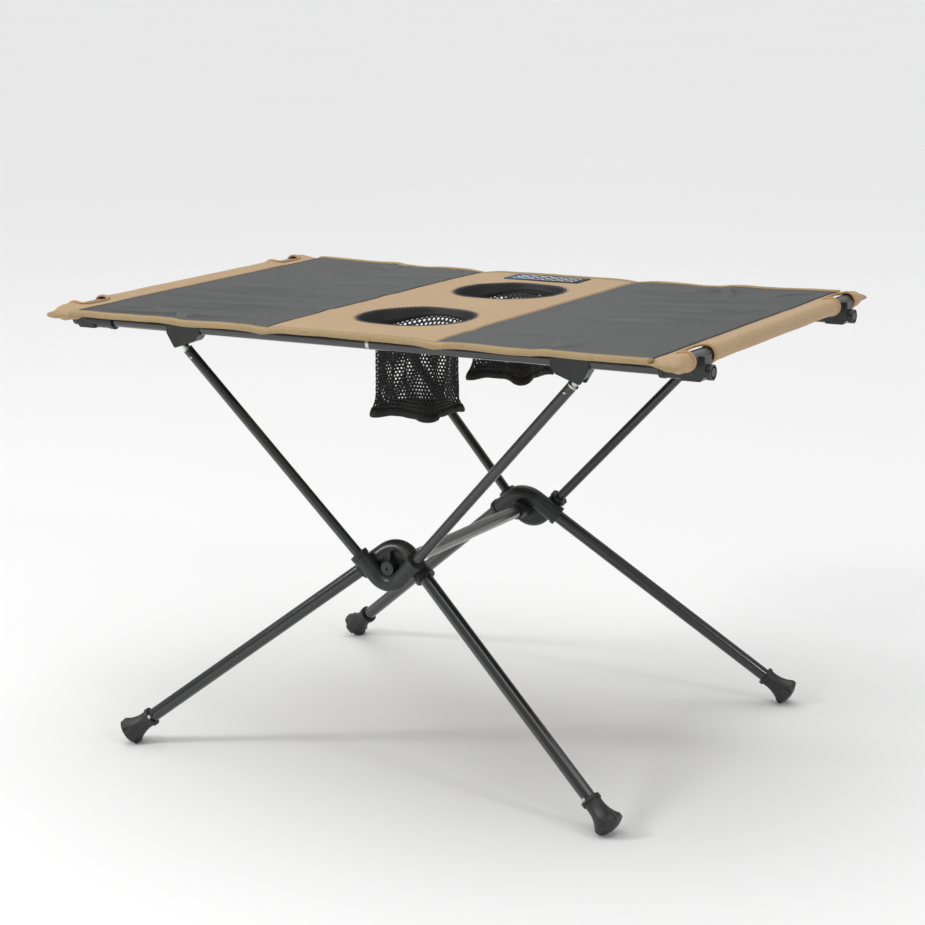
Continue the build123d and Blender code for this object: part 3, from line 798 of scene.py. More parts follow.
def edge_rows(name: str, lines: Iterable[Sequence[Vector]]) -> bpy.types.Object:
    """An object of bare edges, one chain for each line of points, for Geometry Nodes to follow.

    Args:
        name: Its name.
        lines: The points of each line.

    Returns:
        The new object.
    """
    points, edges = [], []
    for line in lines:
        first = len(points)
        points.extend(tuple(p) for p in line)
        edges.extend((first + k, first + k + 1) for k in range(len(line) - 1))
    mesh = bpy.data.meshes.new(name)
    mesh.from_pydata(points, edges, [])
    made = bpy.data.objects.new(name, mesh)
    bpy.context.scene.collection.objects.link(made)
    return made


class Recipe:
    """A Geometry Nodes tree with named inputs, which finishes with Realize Instances and Set Material."""

    def __init__(self, name: str, sizes: dict[str, str]) -> None:
        """Starts the tree.

        Args:
            name: Its name.
            sizes: Each size input's name and socket type.
        """
        self.tree = bpy.data.node_groups.new(name, "GeometryNodeTree")
        self.keys: dict[str, str] = {}
        self.tree.interface.new_socket(name="Geometry", in_out="INPUT", socket_type="NodeSocketGeometry")
        for key, kind in {**sizes, "Material": "NodeSocketMaterial"}.items():
            self.keys[key] = self.tree.interface.new_socket(
                name=key, in_out="INPUT", socket_type=kind
            ).identifier
        self.tree.interface.new_socket(name="Geometry", in_out="OUTPUT", socket_type="NodeSocketGeometry")
        self.graph = Graph(self.tree)
        self.given = self.graph.node("NodeGroupInput").outputs

    def finish(self, geometry: bpy.types.NodeSocket) -> None:
        """Ends the tree.

        Args:
            geometry: What it has made.
        """
        real = self.graph.node("GeometryNodeRealizeInstances", {0: geometry}).outputs[0]
        dressed = self.graph.node(
            "GeometryNodeSetMaterial", {"Geometry": real, "Material": self.given["Material"]}
        )
        self.graph.node("NodeGroupOutput", {0: dressed.outputs[0]})

    def apply(self, made: bpy.types.Object, **values: object) -> bpy.types.Object:
        """Runs the tree on an object with these values and keeps the plain mesh.

        Args:
            made: The object.
            **values: A value for each named input.

        Returns:
            The same object.
        """
        modifier = made.modifiers.new(self.tree.name, "NODES")
        modifier.node_group = self.tree
        for name, value in values.items():
            modifier[self.keys[name]] = value
        return settle(made)


def stitch_recipe() -> Recipe:
    """Short threads laid at a pitch along every chain of edges.

    Returns:
        The recipe.
    """
    made = Recipe(
        "stitch_rows",
        {"Pitch": "NodeSocketFloat", "Length": "NodeSocketFloat", "Radius": "NodeSocketFloat"},
    )
    g, given = made.graph, made.given
    curve = g.node("GeometryNodeMeshToCurve", {0: given["Geometry"]}).outputs[0]
    spots = g.node("GeometryNodeCurveToPoints", {"Curve": curve, "Length": given["Pitch"]}, mode="LENGTH")
    bead = g.node("GeometryNodeMeshUVSphere", {"Segments": 6, "Rings": 4, "Radius": 1.0}).outputs[0]
    size = g.node(
        "ShaderNodeCombineXYZ", {0: given["Radius"], 1: given["Radius"], 2: given["Length"]}
    ).outputs[0]
    thread = g.node("GeometryNodeTransform", {"Geometry": bead, "Scale": size}).outputs[0]
    laid = g.node(
        "GeometryNodeInstanceOnPoints",
        {"Points": spots.outputs[0], "Instance": thread, "Rotation": spots.outputs[3]},
    )
    made.finish(laid.outputs[0])
    return made


def piping_recipe() -> Recipe:
    """A round rolled edge that follows every chain of edges.

    Returns:
        The recipe.
    """
    made = Recipe("rolled_piping", {"Radius": "NodeSocketFloat", "Step": "NodeSocketFloat"})
    g, given = made.graph, made.given
    curve = g.node("GeometryNodeMeshToCurve", {0: given["Geometry"]}).outputs[0]
    even = g.node(
        "GeometryNodeResampleCurve", {"Curve": curve, "Length": given["Step"]}, mode="LENGTH"
    ).outputs[0]
    round_ = g.node(
        "GeometryNodeCurvePrimitiveCircle", {"Resolution": 10, "Radius": given["Radius"]}
    ).outputs[0]
    swept = g.node(
        "GeometryNodeCurveToMesh", {"Curve": even, "Profile Curve": round_, "Fill Caps": True}
    ).outputs[0]
    shaded = g.node("GeometryNodeSetShadeSmooth", {"Geometry": swept, "Shade Smooth": True}).outputs[0]
    made.finish(shaded)
    return made


def net_recipe() -> Recipe:
    """Knitted mesh: a triangulated sheet turned to six-sided cells, each with a hole, and given thickness.

    Returns:
        The recipe.
    """
    made = Recipe("knitted_net", {"Hole": "NodeSocketFloat", "Thickness": "NodeSocketFloat"})
    g, given = made.graph, made.given
    cells = g.node("GeometryNodeDualMesh", {"Mesh": given["Geometry"], "Keep Boundaries": True}).outputs[0]
    parted = g.node(
        "GeometryNodeExtrudeMesh", {"Mesh": cells, "Offset Scale": 0.0, "Individual": True}, mode="FACES"
    )
    drawn = g.node(
        "GeometryNodeScaleElements",
        {"Geometry": parted.outputs[0], "Selection": parted.outputs[1], "Scale": given["Hole"]},
    )
    net = g.node(
        "GeometryNodeDeleteGeometry",
        {"Geometry": drawn.outputs[0], "Selection": parted.outputs[1]},
        domain="FACE",
    ).outputs[0]
    welded = g.node("GeometryNodeMergeByDistance", {"Geometry": net, "Distance": 0.000002}).outputs[0]
    raised = g.node(
        "GeometryNodeExtrudeMesh",
        {"Mesh": welded, "Offset Scale": given["Thickness"], "Individual": False},
        mode="FACES",
    )
    back = g.node("GeometryNodeFlipFaces", {0: welded}).outputs[0]
    both = g.node("GeometryNodeJoinGeometry")
    for part in (raised.outputs[0], back):
        g.tree.links.new(part, both.inputs[0])
    closed = g.node(
        "GeometryNodeMergeByDistance", {"Geometry": both.outputs[0], "Distance": 0.000002}
    ).outputs[0]
    made.finish(closed)
    return made


# ---------------------------------------------------------------- shapes


@dataclass(frozen=True)
class RoundedFrame:
    """A rectangle with round corners about a point, in plan.

    Attributes:
        x: Middle, along the table.
        y: Middle, across it.
        half_x: Half its length along the table.
        half_y: Half its length across it.
        corner: Radius of its corners.
    """

    x: float
    y: float
    half_x: float
    half_y: float
    corner: float

    def inset(self, distance: float) -> "RoundedFrame":
        """The same frame, smaller by a distance all round, or larger if it is negative."""
        corner = max(self.corner - distance, 0.001)
        return RoundedFrame(self.x, self.y, self.half_x - distance, self.half_y - distance, corner)

    def perimeter(self) -> float:
        """Length of the outline."""
        return 4 * (self.half_x + self.half_y - 2 * self.corner) + 2 * math.pi * self.corner

    def at(self, share: float) -> tuple[Vector, Vector]:
        """The point and the outward direction at a share of the way round, from the middle of the +X side.

        Args:
            share: How far round, from 0 to 1.

        Returns:
            The point and the direction.
        """
        r, a, b = self.corner, self.half_x - self.corner, self.half_y - self.corner
        quarter, arc = b + a + math.pi * r / 2, math.pi * r / 2
        turn, s = divmod((share % 1.0) * 4, 1.0)
        back = int(turn) % 2 == 1
        d = (1 - s if back else s) * quarter
        if d < b:
            point, out = Vector((a + r, d)), Vector((1, 0))
        elif d < b + arc:
            angle = (d - b) / r
            out = Vector((math.cos(angle), math.sin(angle)))
            point = Vector((a, b)) + out * r
        else:
            point, out = Vector((a - (d - b - arc), b + r)), Vector((0, 1))
        flip = ((1, 1), (-1, 1), (-1, -1), (1, -1))[int(turn)]
        point = Vector((self.x + point.x * flip[0], self.y + point.y * flip[1]))
        return point, Vector((out.x * flip[0], out.y * flip[1]))

    def outside(self, x: float, y: float) -> float:
        """How far a point is outside the frame, negative inside.

        Args:
            x: Where along the table.
            y: Where across it.

        Returns:
            The distance.
        """
        dx = abs(x - self.x) - (self.half_x - self.corner)
        dy = abs(y - self.y) - (self.half_y - self.corner)
        return math.hypot(max(dx, 0), max(dy, 0)) + min(max(dx, dy), 0) - self.corner


@dataclass(frozen=True)
class Wrinkle:
    """One raised or sunk fold of the cloth.

    Attributes:
        x: Its middle, along the table.
        y: Its middle, across it.
        length: Half its length.
        width: Half its width.
        height: How far it stands up.
        turn: Its angle from the table's length, in degrees.
    """

    x: float
    y: float
    length: float
    width: float
    height: float
    turn: float

    def rise(self, x: float, y: float) -> float:
        """Height that it adds at a point.

        Args:
            x: Where along the table.
            y: Where across it.

        Returns:
            The height.
        """
        c, s = math.cos(math.radians(self.turn)), math.sin(math.radians(self.turn))
        u = ((x - self.x) * c + (y - self.y) * s) / self.length
        if abs(u) >= 1:
            return 0.0
        v = (y - self.y) * c - (x - self.x) * s
        bow = self.width * 0.8 * math.sin(u * 2.2)
        return self.height * (1 - u * u) ** 2 * bell(v - bow, self.width)


@dataclass
class Drape:
    """The shape of the stretched top: its outline, height and folds.

    Attributes:
        flange: Width of a facing's turned edge on the cloth.
        straight: Half the straight stretch of a cup opening's shorter side.
        climb_from: How far from the middle the cloth begins to climb to the end poles.
        climb: How far it climbs.
        fade: How quickly the droop of a long edge fades inwards.
        seam_sag: How far a long edge hangs at the centre panel's seams.
        side_sag: How far it hangs half way along a side panel.
        bracket_lift: How far a leg bracket lifts it.
        seed: Seed of the folds.
    """

    flange: float = 6 * MM
    straight: float = 5 * MM
    climb_from: float = 0.165
    climb: float = 1.3 * MM
    fade: float = 0.014
    seam_sag: float = 2.0 * MM
    side_sag: float = 1.2 * MM
    bracket_lift: float = 0.7 * MM
    seed: int = 11

    def __post_init__(self) -> None:
        """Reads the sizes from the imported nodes."""
        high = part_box("centre_panel")[1]
        self.level = high.z
        self.centre_half, edge_inner = high.x, high.y
        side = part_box("right_panel")[1]
        self.seam = side.x
        self.round = (self.seam**2 - self.centre_half**2) / (2 * (side.y - edge_inner))
        self.middle_edge = edge_inner - self.centre_half**2 / (2 * self.round)
        facing_low, facing_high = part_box("rear_cup_facing")
        middle, half = (facing_low + facing_high) / 2, (facing_high - facing_low) / 2
        half_x, half_y = half.x - self.flange, half.y - self.flange
        self.cups = {
            name: RoundedFrame(middle.x, sy * middle.y, half_x, half_y, min(half_x, half_y) - self.straight)
            for name, sy in SIDES.items()
        }
        self.bracket_x = sum(p.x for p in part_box("rear_right_leg_bracket")) / 2
        self.wrinkles = self._wrinkles()

    def _wrinkles(self) -> list[Wrinkle]:
        """Folds along the pull of the cloth, and short creases over the leg brackets.

        Returns:
            All of them.
        """
        draw = random.Random(self.seed)
        made = []
        for sx in ENDS.values():
            for k in range(11):
                y = -0.165 + 0.033 * k + draw.uniform(-0.011, 0.011)
                x = sx * draw.uniform(0.13, 0.225)
                height = draw.choice((-1.6, 1.8, 2.5)) * draw.uniform(0.55, 1.0) * MM
                length, width = draw.uniform(0.05, 0.11), draw.uniform(0.006, 0.012)
                made.append(Wrinkle(x, y, length, width, height, draw.uniform(-6, 6)))
            for sy in SIDES.values():
                lean = 90 + sx * sy * draw.uniform(10, 22)
                made.append(Wrinkle(sx * self.bracket_x, sy * 0.163, 0.042, 0.0035, 1.5 * MM, lean))
                made.append(Wrinkle(sx * (self.bracket_x - 0.013), sy * 0.168, 0.034, 0.005, -1.3 * MM, lean))
                made.append(Wrinkle(sx * 0.245, sy * 0.16, 0.03, 0.004, 0.9 * MM, sx * sy * 35))
        for k in range(6):
            x = draw.uniform(-0.05, 0.05)
            made.append(Wrinkle(x, -0.175 + 0.07 * k, 0.05, 0.006, 0.35 * MM, draw.uniform(-12, 12)))
        return made

    def edge(self, x: float) -> float:
        """Half the depth of the top at x, on its hollow long edge."""
        return self.middle_edge + x * x / (2 * self.round)

    def rise(self, x: float) -> float:
        """How far the cloth climbs towards the end poles."""
        return self.climb * smooth((abs(x) - self.climb_from) / (self.seam - self.climb_from))

    def droop(self, x: float) -> float:
        """How far the long edge hangs down at x, between the places that hold it.

        Args:
            x: Where along the table.

        Returns:
            The distance.
        """
        sag = self.seam_sag * bell(abs(x) - self.centre_half, 0.013)
        sag += self.side_sag * bell(abs(x) - 0.15, 0.02)
        lift = self.bracket_lift * bell(abs(x) - self.bracket_x, 0.012)
        return sag - lift + 0.45 * MM * noise.noise(Vector((x * 34, 2.7, 0.4)))

    def height(self, x: float, y: float) -> float:
        """Height of the upper face of the cloth.

        Args:
            x: Where along the table.
            y: Where across it.

        Returns:
            The height above the floor.
        """
        z = self.level + self.rise(x) + sum(w.rise(x, y) for w in self.wrinkles)
        near_edge = max(self.edge(x) - abs(y), 0.0)
        z -= self.droop(x) * math.exp(-near_edge / self.fade)
        z -= 0.5 * MM * bell(abs(x) - self.centre_half, 0.0016)
        for cup in self.cups.values():
            away = max(cup.outside(x, y), 0.0)
            ripple = 1 + 0.25 * math.sin(5 * math.atan2(y - cup.y, x - cup.x) + 1.3)
            z -= 0.8 * MM * ripple * math.exp(-away / 0.008)
        broad = noise.noise(Vector((x * 21, y * 21, 1.5)))
        fine = noise.noise(Vector((x * 70, y * 70, 5.0)))
        return z + 0.3 * MM * broad + 0.12 * MM * fine

    def point(self, x: float, y: float, lift: float = 0.0) -> Vector:
        """A point on the cloth, or above it."""
        return Vector((x, y, self.height(x, y) + lift))


# ---------------------------------------------------------------- cloth of the top


@dataclass
class TopPanels:
    """The three stretched panels of the top.

    Attributes:
        drape: The shape that they follow.
        palette: The materials.
        thickness: Of the cloth.
        step: From point to point of the mesh.
    """

    drape: Drape
    palette: Palette
    thickness: float = 1.0 * MM
    step: float = 3.0 * MM

    def _side(self, side: str) -> bpy.types.Object:
        """A black panel, from the centre panel's seam to the sleeve's seam.

        Args:
            side: Left or right.

        Returns:
            The panel.
        """
        sign, d = ENDS[side], self.drape
        columns = round((d.seam - d.centre_half) / self.step)
        rows = round(2 * d.edge(d.seam) / self.step)
        shell, points, flat = Shell(), [], []
        for r in range(rows + 1):
            v = 2 * r / rows - 1
            xs = [blend(d.centre_half, d.seam, c / columns) * sign for c in range(columns + 1)]
            flat.append([(x, v * d.edge(x)) for x in xs])
            points.append([d.point(x, y) for x, y in flat[-1]])
        shell.add_grid(points, flat)
        made = thicken(shell.object(f"{side}_panel_cloth", self.palette.of(Finish.BLACK)), self.thickness)
        size = (d.seam - d.centre_half, 2 * d.edge(d.seam))
        self._declare(made, f"{side}_panel", shell.flat_area())
        return made

    def _centre(self) -> bpy.types.Object:
        """The tan panel with its two cup openings.

        Returns:
            The panel.
        """
        d = self.drape
        outline, rows = [], round(2 * d.edge(d.centre_half) / self.step)
        columns = round(2 * d.centre_half / self.step)
        spans = [blend(-d.centre_half, d.centre_half, c / columns) for c in range(columns + 1)]
        deep = [blend(-1, 1, r / rows) * d.edge(d.centre_half) for r in range(rows + 1)]
        outline += [(x, -d.edge(x)) for x in spans] + [(d.centre_half, y) for y in deep[1:-1]]
        outline += [(x, d.edge(x)) for x in reversed(spans)]
        outline += [(-d.centre_half, y) for y in reversed(deep[1:-1])]
        points = [Vector(p) for p in outline]
        for cup in d.cups.values():
            count = round(cup.perimeter() / (2 * MM))
            for lap in (0.0, -1.2 * MM):
                points += [cup.inset(lap).at(k / count)[0] for k in range(count)]
        for x in spans[1:-1]:
            for y in deep[1:-1]:
                clear = all(cup.outside(x, y) > 2.6 * MM for cup in d.cups.values())
                if clear and abs(y) < d.edge(x) - 1.5 * MM:
                    points.append(Vector((x, y)))
        met, _, faces, *_ = delaunay_2d_cdt(points, [], [tuple(range(len(outline)))], 1, 1e-7)
        shell = Shell([d.point(p.x, p.y) for p in met], [(p.x, p.y) for p in met])
        for face in faces:
            middle = sum((met[i] for i in face), Vector((0, 0))) / len(face)
            if all(cup.outside(middle.x, middle.y) > 0 for cup in d.cups.values()):
                shell.faces.append(tuple(face))
        made = thicken(shell.object("centre_panel_cloth", self.palette.of(Finish.TAN)), self.thickness)
        size = (2 * d.centre_half, 2 * d.edge(d.centre_half))
        self._declare(made, "centre_panel", shell.flat_area())
        return made

    def _declare(
        self, made: bpy.types.Object, node: str, area: float
    ) -> None:
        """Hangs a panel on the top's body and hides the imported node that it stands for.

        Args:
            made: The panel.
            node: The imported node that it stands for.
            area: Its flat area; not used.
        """
        belong(made, node)

    def build(self) -> None:
        """Makes the three panels."""
        for side in ENDS:
            self._side(side)
        self._centre()


@dataclass
class EndSleeves:
    """The sleeves over the end poles, cut out round each corner connector.

    Attributes:
        drape: The shape of the top that they carry on from.
        palette: The materials.
        thickness: Of the cloth.
        mouth: Half the cut-out's width at its inner edge.
        corner: Radius of the cut-out's inner corners.
        tongue: Cloth left between the seam and the cut-out.
        flat_tall: Height of the flattened corner ear, as a share of the round sleeve's.
        wrap: How far the cloth goes round the pole, in degrees.
        ear_start: How far before the pole's end an ear begins to flatten.
        ear_below: How far below the top an ear's middle begins.
        ear_dip: How much further it has sunk at its end.
    """

    drape: Drape
    palette: Palette
    thickness: float = 0.9 * MM
    mouth: float = 13 * MM
    corner: float = 6 * MM
    tongue: float = 9.5 * MM
    flat_tall: float = 0.34
    wrap: float = 242.0
    ear_start: float = 1.5 * MM
    ear_below: float = 1.4 * MM
    ear_dip: float = 1.8 * MM

    def __post_init__(self) -> None:
        """Reads the pole and the cut-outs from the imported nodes."""
        low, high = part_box("right_sleeve")
        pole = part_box("right_end_pole")
        self.pole_x = (pole[0].x + pole[1].x) / 2
        self.pole_z = (pole[0].z + pole[1].z) / 2
        self.radius = high.z - self.pole_z
        self.end = high.y
        self.pole_end = pole[1].y
        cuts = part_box("rear_right_connector")
        self.cut_y = (cuts[0].y + cuts[1].y) / 2
        self.path = self._path()

    def _path(self) -> list[tuple[float, float]]:
        """The section of the right sleeve in x and z, from its seam over the pole and up behind it.

        Returns:
            Its points.
        """
        start = Vector((self.drape.seam, self.drape.level + self.drape.rise(self.drape.seam) - 0.4 * MM))
        hub = Vector((self.pole_x, self.pole_z))
        line = hub - start
        lean = math.atan2(line.y, line.x) + math.asin(self.radius / line.length)
        first, steps = lean + math.pi / 2, 40
        raw = [start]
        for k in range(steps + 1):
            turn = first - math.radians(self.wrap) * k / steps
            raw.append(hub + Vector((math.cos(turn), math.sin(turn))) * self.radius)
        raw.append(Vector((self.drape.seam + 5.2 * MM, self.drape.level - 2.0 * MM)))
        return self._even(raw, 1.2 * MM)

    @staticmethod
    def _even(raw: Sequence[Vector], step: float) -> list[tuple[float, float]]:
        """The same line with points at an even step.

        Args:
            raw: The line.
            step: From point to point.

        Returns:
            The new points.
        """
        lengths = [0.0]
        for a, b in zip(raw, raw[1:]):
            lengths.append(lengths[-1] + (b - a).length)
        count = round(lengths[-1] / step)
        made, at = [], 0
        for k in range(count + 1):
            s = lengths[-1] * k / count
            while at < len(raw) - 2 and lengths[at + 1] < s:
                at += 1
            t = (s - lengths[at]) / (lengths[at + 1] - lengths[at])
            made.append(tuple(raw[at].lerp(raw[at + 1], t)))
        return made

    def arc(self, row: int) -> float:
        """Distance along the section to one of its points."""
        return sum(math.dist(a, b) for a, b in zip(self.path[:row], self.path[1 : row + 1]))

    def cut(self, a: float) -> float:
        """Half the width of the cut-out at a distance along the section.

        Args:
            a: The distance, from the seam.

        Returns:
            The half width.
        """
        past = a - self.tongue
        if past <= 0:
            return self.mouth
        if past >= self.corner:
            return self.mouth + self.corner
        return self.mouth + math.sqrt(self.corner**2 - (self.corner - past) ** 2)

    def place(self, sign: int, row: int, y: float) -> Vector:
        """A point of the sleeve.

        Args:
            sign: 1 for the right end and -1 for the left.
            row: Which point of the section.
            y: Where across the table.

        Returns:
            The point, flattened in the ears and slightly uneven.
        """
        x, z = self.path[row]
        ear = self.ear_start
        flat = smooth((abs(y) - self.pole_end + ear) / (self.end - self.pole_end - ear))
        centre = self.drape.level - self.ear_below - self.ear_dip * flat
        z = centre + (z - centre) * blend(1, self.flat_tall, flat)
        share = row / (len(self.path) - 1)
        near_seam = max(1 - share * 5, 0)
        seam = self.drape.seam
        top = self.drape.height(sign * seam, y) - self.drape.level - self.drape.rise(seam)
        z += top * near_seam
        ripple = noise.noise(Vector((x * 60, y * 28 * sign, share * 3))) * 0.35 * MM
        lean = Vector((x - self.pole_x, z - self.pole_z)).normalized()
        close = bell(abs(abs(y) - self.cut_y) - self.mouth - self.corner, 0.012) * 0.5 * MM * (1 - flat)
        out = (ripple + close) * smooth(share * 4)
        return Vector((sign * (x + lean.x * out), y, z + lean.y * out))

    def _sections(self) -> list[Callable[[float, float], float]]:
        """Where y lies for a share t across each part, as functions of t and the distance along the section.

        Returns:
            One function for each of the three parts.
        """
        return [
            lambda t, a: blend(-self.cut_y + self.cut(a), self.cut_y - self.cut(a), t),
            lambda t, a: blend(self.cut_y + self.cut(a), self.end, t),
            lambda t, a: -blend(self.cut_y + self.cut(a), self.end, t),
        ]

    def build(self, side: str) -> bpy.types.Object:
        """Makes one sleeve.

        Args:
            side: Left or right.

        Returns:
            The sleeve.
        """
        sign, shell = ENDS[side], Shell()
        rows = len(self.path)
        arcs = [self.arc(r) for r in range(rows)]
        for section, steps in zip(self._sections(), (110, 14, 14)):
            points, flat = [], []
            for r, a in enumerate(arcs):
                ys = [section(k / steps, a) for k in range(steps + 1)]
                points.append([self.place(sign, r, y) for y in ys])
                flat.append([(a, y) for y in ys])
            shell.add_grid(points, flat)
        strip = [r for r, a in enumerate(arcs) if a <= self.tongue + 0.3 * MM]
        for end in (-1, 1):
            ys = [end * (self.cut_y + blend(-self.mouth, self.mouth, k / 10)) for k in range(11)]
            points = [[self.place(sign, r, y) for y in ys] for r in strip]
            shell.add_grid(points, [[(arcs[r], y) for y in ys] for r in strip])
        made = thicken(shell.object(f"{side}_sleeve_cloth", self.palette.of(Finish.TAN)), self.thickness)
        belong(made, f"{side}_sleeve")
        size = (arcs[-1], 2 * self.end)
        area = min(shell.flat_area(), size[0] * size[1])
        return made

    def cut_line(self, sign: int, end: int, inset: float) -> list[Vector]:
        """The edge of one cut-out, from the sleeve's flap round the inner edge and back to the flap.

        Args:
            sign: 1 for the right end and -1 for the left.
            end: 1 for the rear and -1 for the front.
            inset: How far the line lies inside the cloth's edge.

        Returns:
            Points along it.
        """
        rows = [r for r in range(len(self.path)) if self.arc(r) >= self.tongue + self.corner]
        near = [(r, self.cut_y - self.mouth - self.corner - inset) for r in reversed(rows)]
        step = [r for r in range(len(self.path)) if self.tongue < self.arc(r) < self.tongue + self.corner]
        near += [(r, self.cut_y - self.cut(self.arc(r)) - inset) for r in reversed(step)]
        low = max(min(step) - 1, 0)
        across = [(low, self.cut_y + blend(-self.mouth, self.mouth, k / 12)) for k in range(13)]
        far = [(r, 2 * self.cut_y - y) for r, y in reversed(near)]
        line = [self.place(sign, r, end * y) for r, y in (*near, *across, *far)]
        return [p + Vector((0, 0, 0.3 * MM)) for p in line]


@dataclass
class EdgeBinding:
    """Tape sewn over the long edges and round the end of each corner ear.

    Attributes:
        drape: The shape of the top.
        sleeves: The sleeves whose ears are bound.
        palette: The materials.
        section: The tape's outline, in millimetres out from the edge and up from the cloth.
    """

    drape: Drape
    sleeves: EndSleeves
    palette: Palette
    section: tuple[tuple[float, float], ...] = (
        (-6.5, 0.2), (-3.4, 0.55), (-0.9, 0.95), (0.8, 0.6), (1.5, -0.4), (1.7, -1.7), (1.5, -3.0),
        (0.8, -4.0), (-0.2, -4.3), (-1.2, -3.8), (-1.4, -2.8), (-1.1, -2.2), (-1.9, -1.9), (-6.4, -1.9),
    )

    def _long_edge(self, shell: Shell, sy: int) -> None:
        """Adds the tape along one long edge.

        Args:
            shell: Where it is added.
            sy: 1 for the rear and -1 for the front.
        """
        d = self.drape
        steps = round(2 * d.seam / (3 * MM))
        rows, flat = [], []
        for k in range(steps + 1):
            x = blend(-d.seam, d.seam, k / steps) * 1.004
            y = d.edge(x)
            slope = x / d.round
            out = Vector((-slope, 1)).normalized()
            ring = []
            for o, rise in self.section:
                wave = 0.5 * MM * noise.noise(Vector((x * 60, rise * 0.4, sy * 2.0)))
                px, py = x + out.x * o * MM, y + out.y * (o * MM + wave)
                inner = min(py, y)
                uneven = 0.25 * noise.noise(Vector((x * 30, 3.0, sy * 4.0)))
                z = d.height(px, sy * inner) + (rise + uneven) * MM
                ring.append(Vector((px, sy * py, z)))
            rows.append(ring)
            flat.append([(x, 0.0025 * n) for n in range(len(ring))])
        shell.add_grid(rows, flat, ring=True)
        for end, turned in ((0, True), (-1, False)):
            shell.add_fan(rows[end], flat[end], turned)

    def _ear_edge(self, shell: Shell, sx: int, sy: int) -> None:
        """Adds the tape round the end of one corner ear.

        Args:
            shell: Where it is added.
            sx: 1 for the right end and -1 for the left.
            sy: 1 for the rear and -1 for the front.
        """
        s = self.sleeves
        count = len(s.path)
        middle = Vector((sx * (s.pole_x - 4 * MM), 0, self.drape.level - 3.2 * MM))
        rows, flat = [], []
        for back, grow in ((5.4, 0.1), (5.2, 0.6), (3.0, 0.75), (0.4, 0.7), (-0.9, 0.0), (-1.1, -0.8)):
            ring = []
            for r in range(count):
                y = s.end - max(back, 0.0) * MM
                point = s.place(sx, r, sy * y)
                point.y = sy * (s.end - back * MM)
                away = Vector((point.x - middle.x, 0, (point.z - middle.z) * 2)).normalized()
                ring.append(point + away * grow * MM)
            rows.append(ring)
            flat.append([(s.arc(r), back * MM) for r in range(count)])
        shell.add_grid(rows, flat, ring=True)
        shell.add_fan(rows[-1], flat[-1])

    def build(self, side: str) -> None:
        """Makes the tape of one long edge with its two ears.

        Args:
            side: Front or rear.
        """
        shell, sy = Shell(), SIDES[side]
        self._long_edge(shell, sy)
        for sx in (-1, 1):
            self._ear_edge(shell, sx, sy)
        made = shell.object(f"{side}_edge_tape", self.palette.of(Finish.TAPE))
        belong(made, f"{side}_edge_binding")


@dataclass
class NotchPiping:
    """Rolled piping round the cut-outs of the sleeves.

    Attributes:
        sleeves: The sleeves with the cut-outs.
        palette: The materials.
        recipe: The recipe of a rolled edge.
        radius: Of one roll.
    """

    sleeves: EndSleeves
    palette: Palette
    recipe: Recipe
    radius: float = 1.05 * MM

    def build(self) -> None:
        """Makes all four, each of two rolls side by side."""
        lines = []
        for sx in (-1, 1):
            for sy in (-1, 1):
                lines += [self.sleeves.cut_line(sx, sy, inset) for inset in (-0.3 * MM, 1.7 * MM)]
        made = edge_rows("notch_piping_rolls", lines)
        material = self.palette.of(Finish.PIPING)
        self.recipe.apply(made, Radius=self.radius, Step=1.5 * MM, Material=material)
        dress_flat(made)
        belong(made, "notch_bindings")


def belong(made: bpy.types.Object, node: str | None = None, body: str = TOP) -> None:
    """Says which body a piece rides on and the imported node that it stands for, and reports it.

    Args:
        made: The piece.
        node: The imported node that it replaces, or None where it is an addition.
        body: The body that it rides on.
    """
    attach(made, body)
    if node:
        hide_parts(node)
    LOG.info("%s: %d faces, on %s", made.name, len(made.data.polygons), body)


def dress_flat(made: bpy.types.Object) -> None:
    """Gives a mesh made by nodes flat coordinates from its own shape.

    Args:
        made: The object.
    """
    mesh = made.data
    layer = mesh.uv_layers.get("flat") or mesh.uv_layers.new(name="flat")
    for loop in mesh.loops:
        point = mesh.vertices[loop.vertex_index].co
        layer.data[loop.index].uv = (point.x + point.z, point.y + point.z)


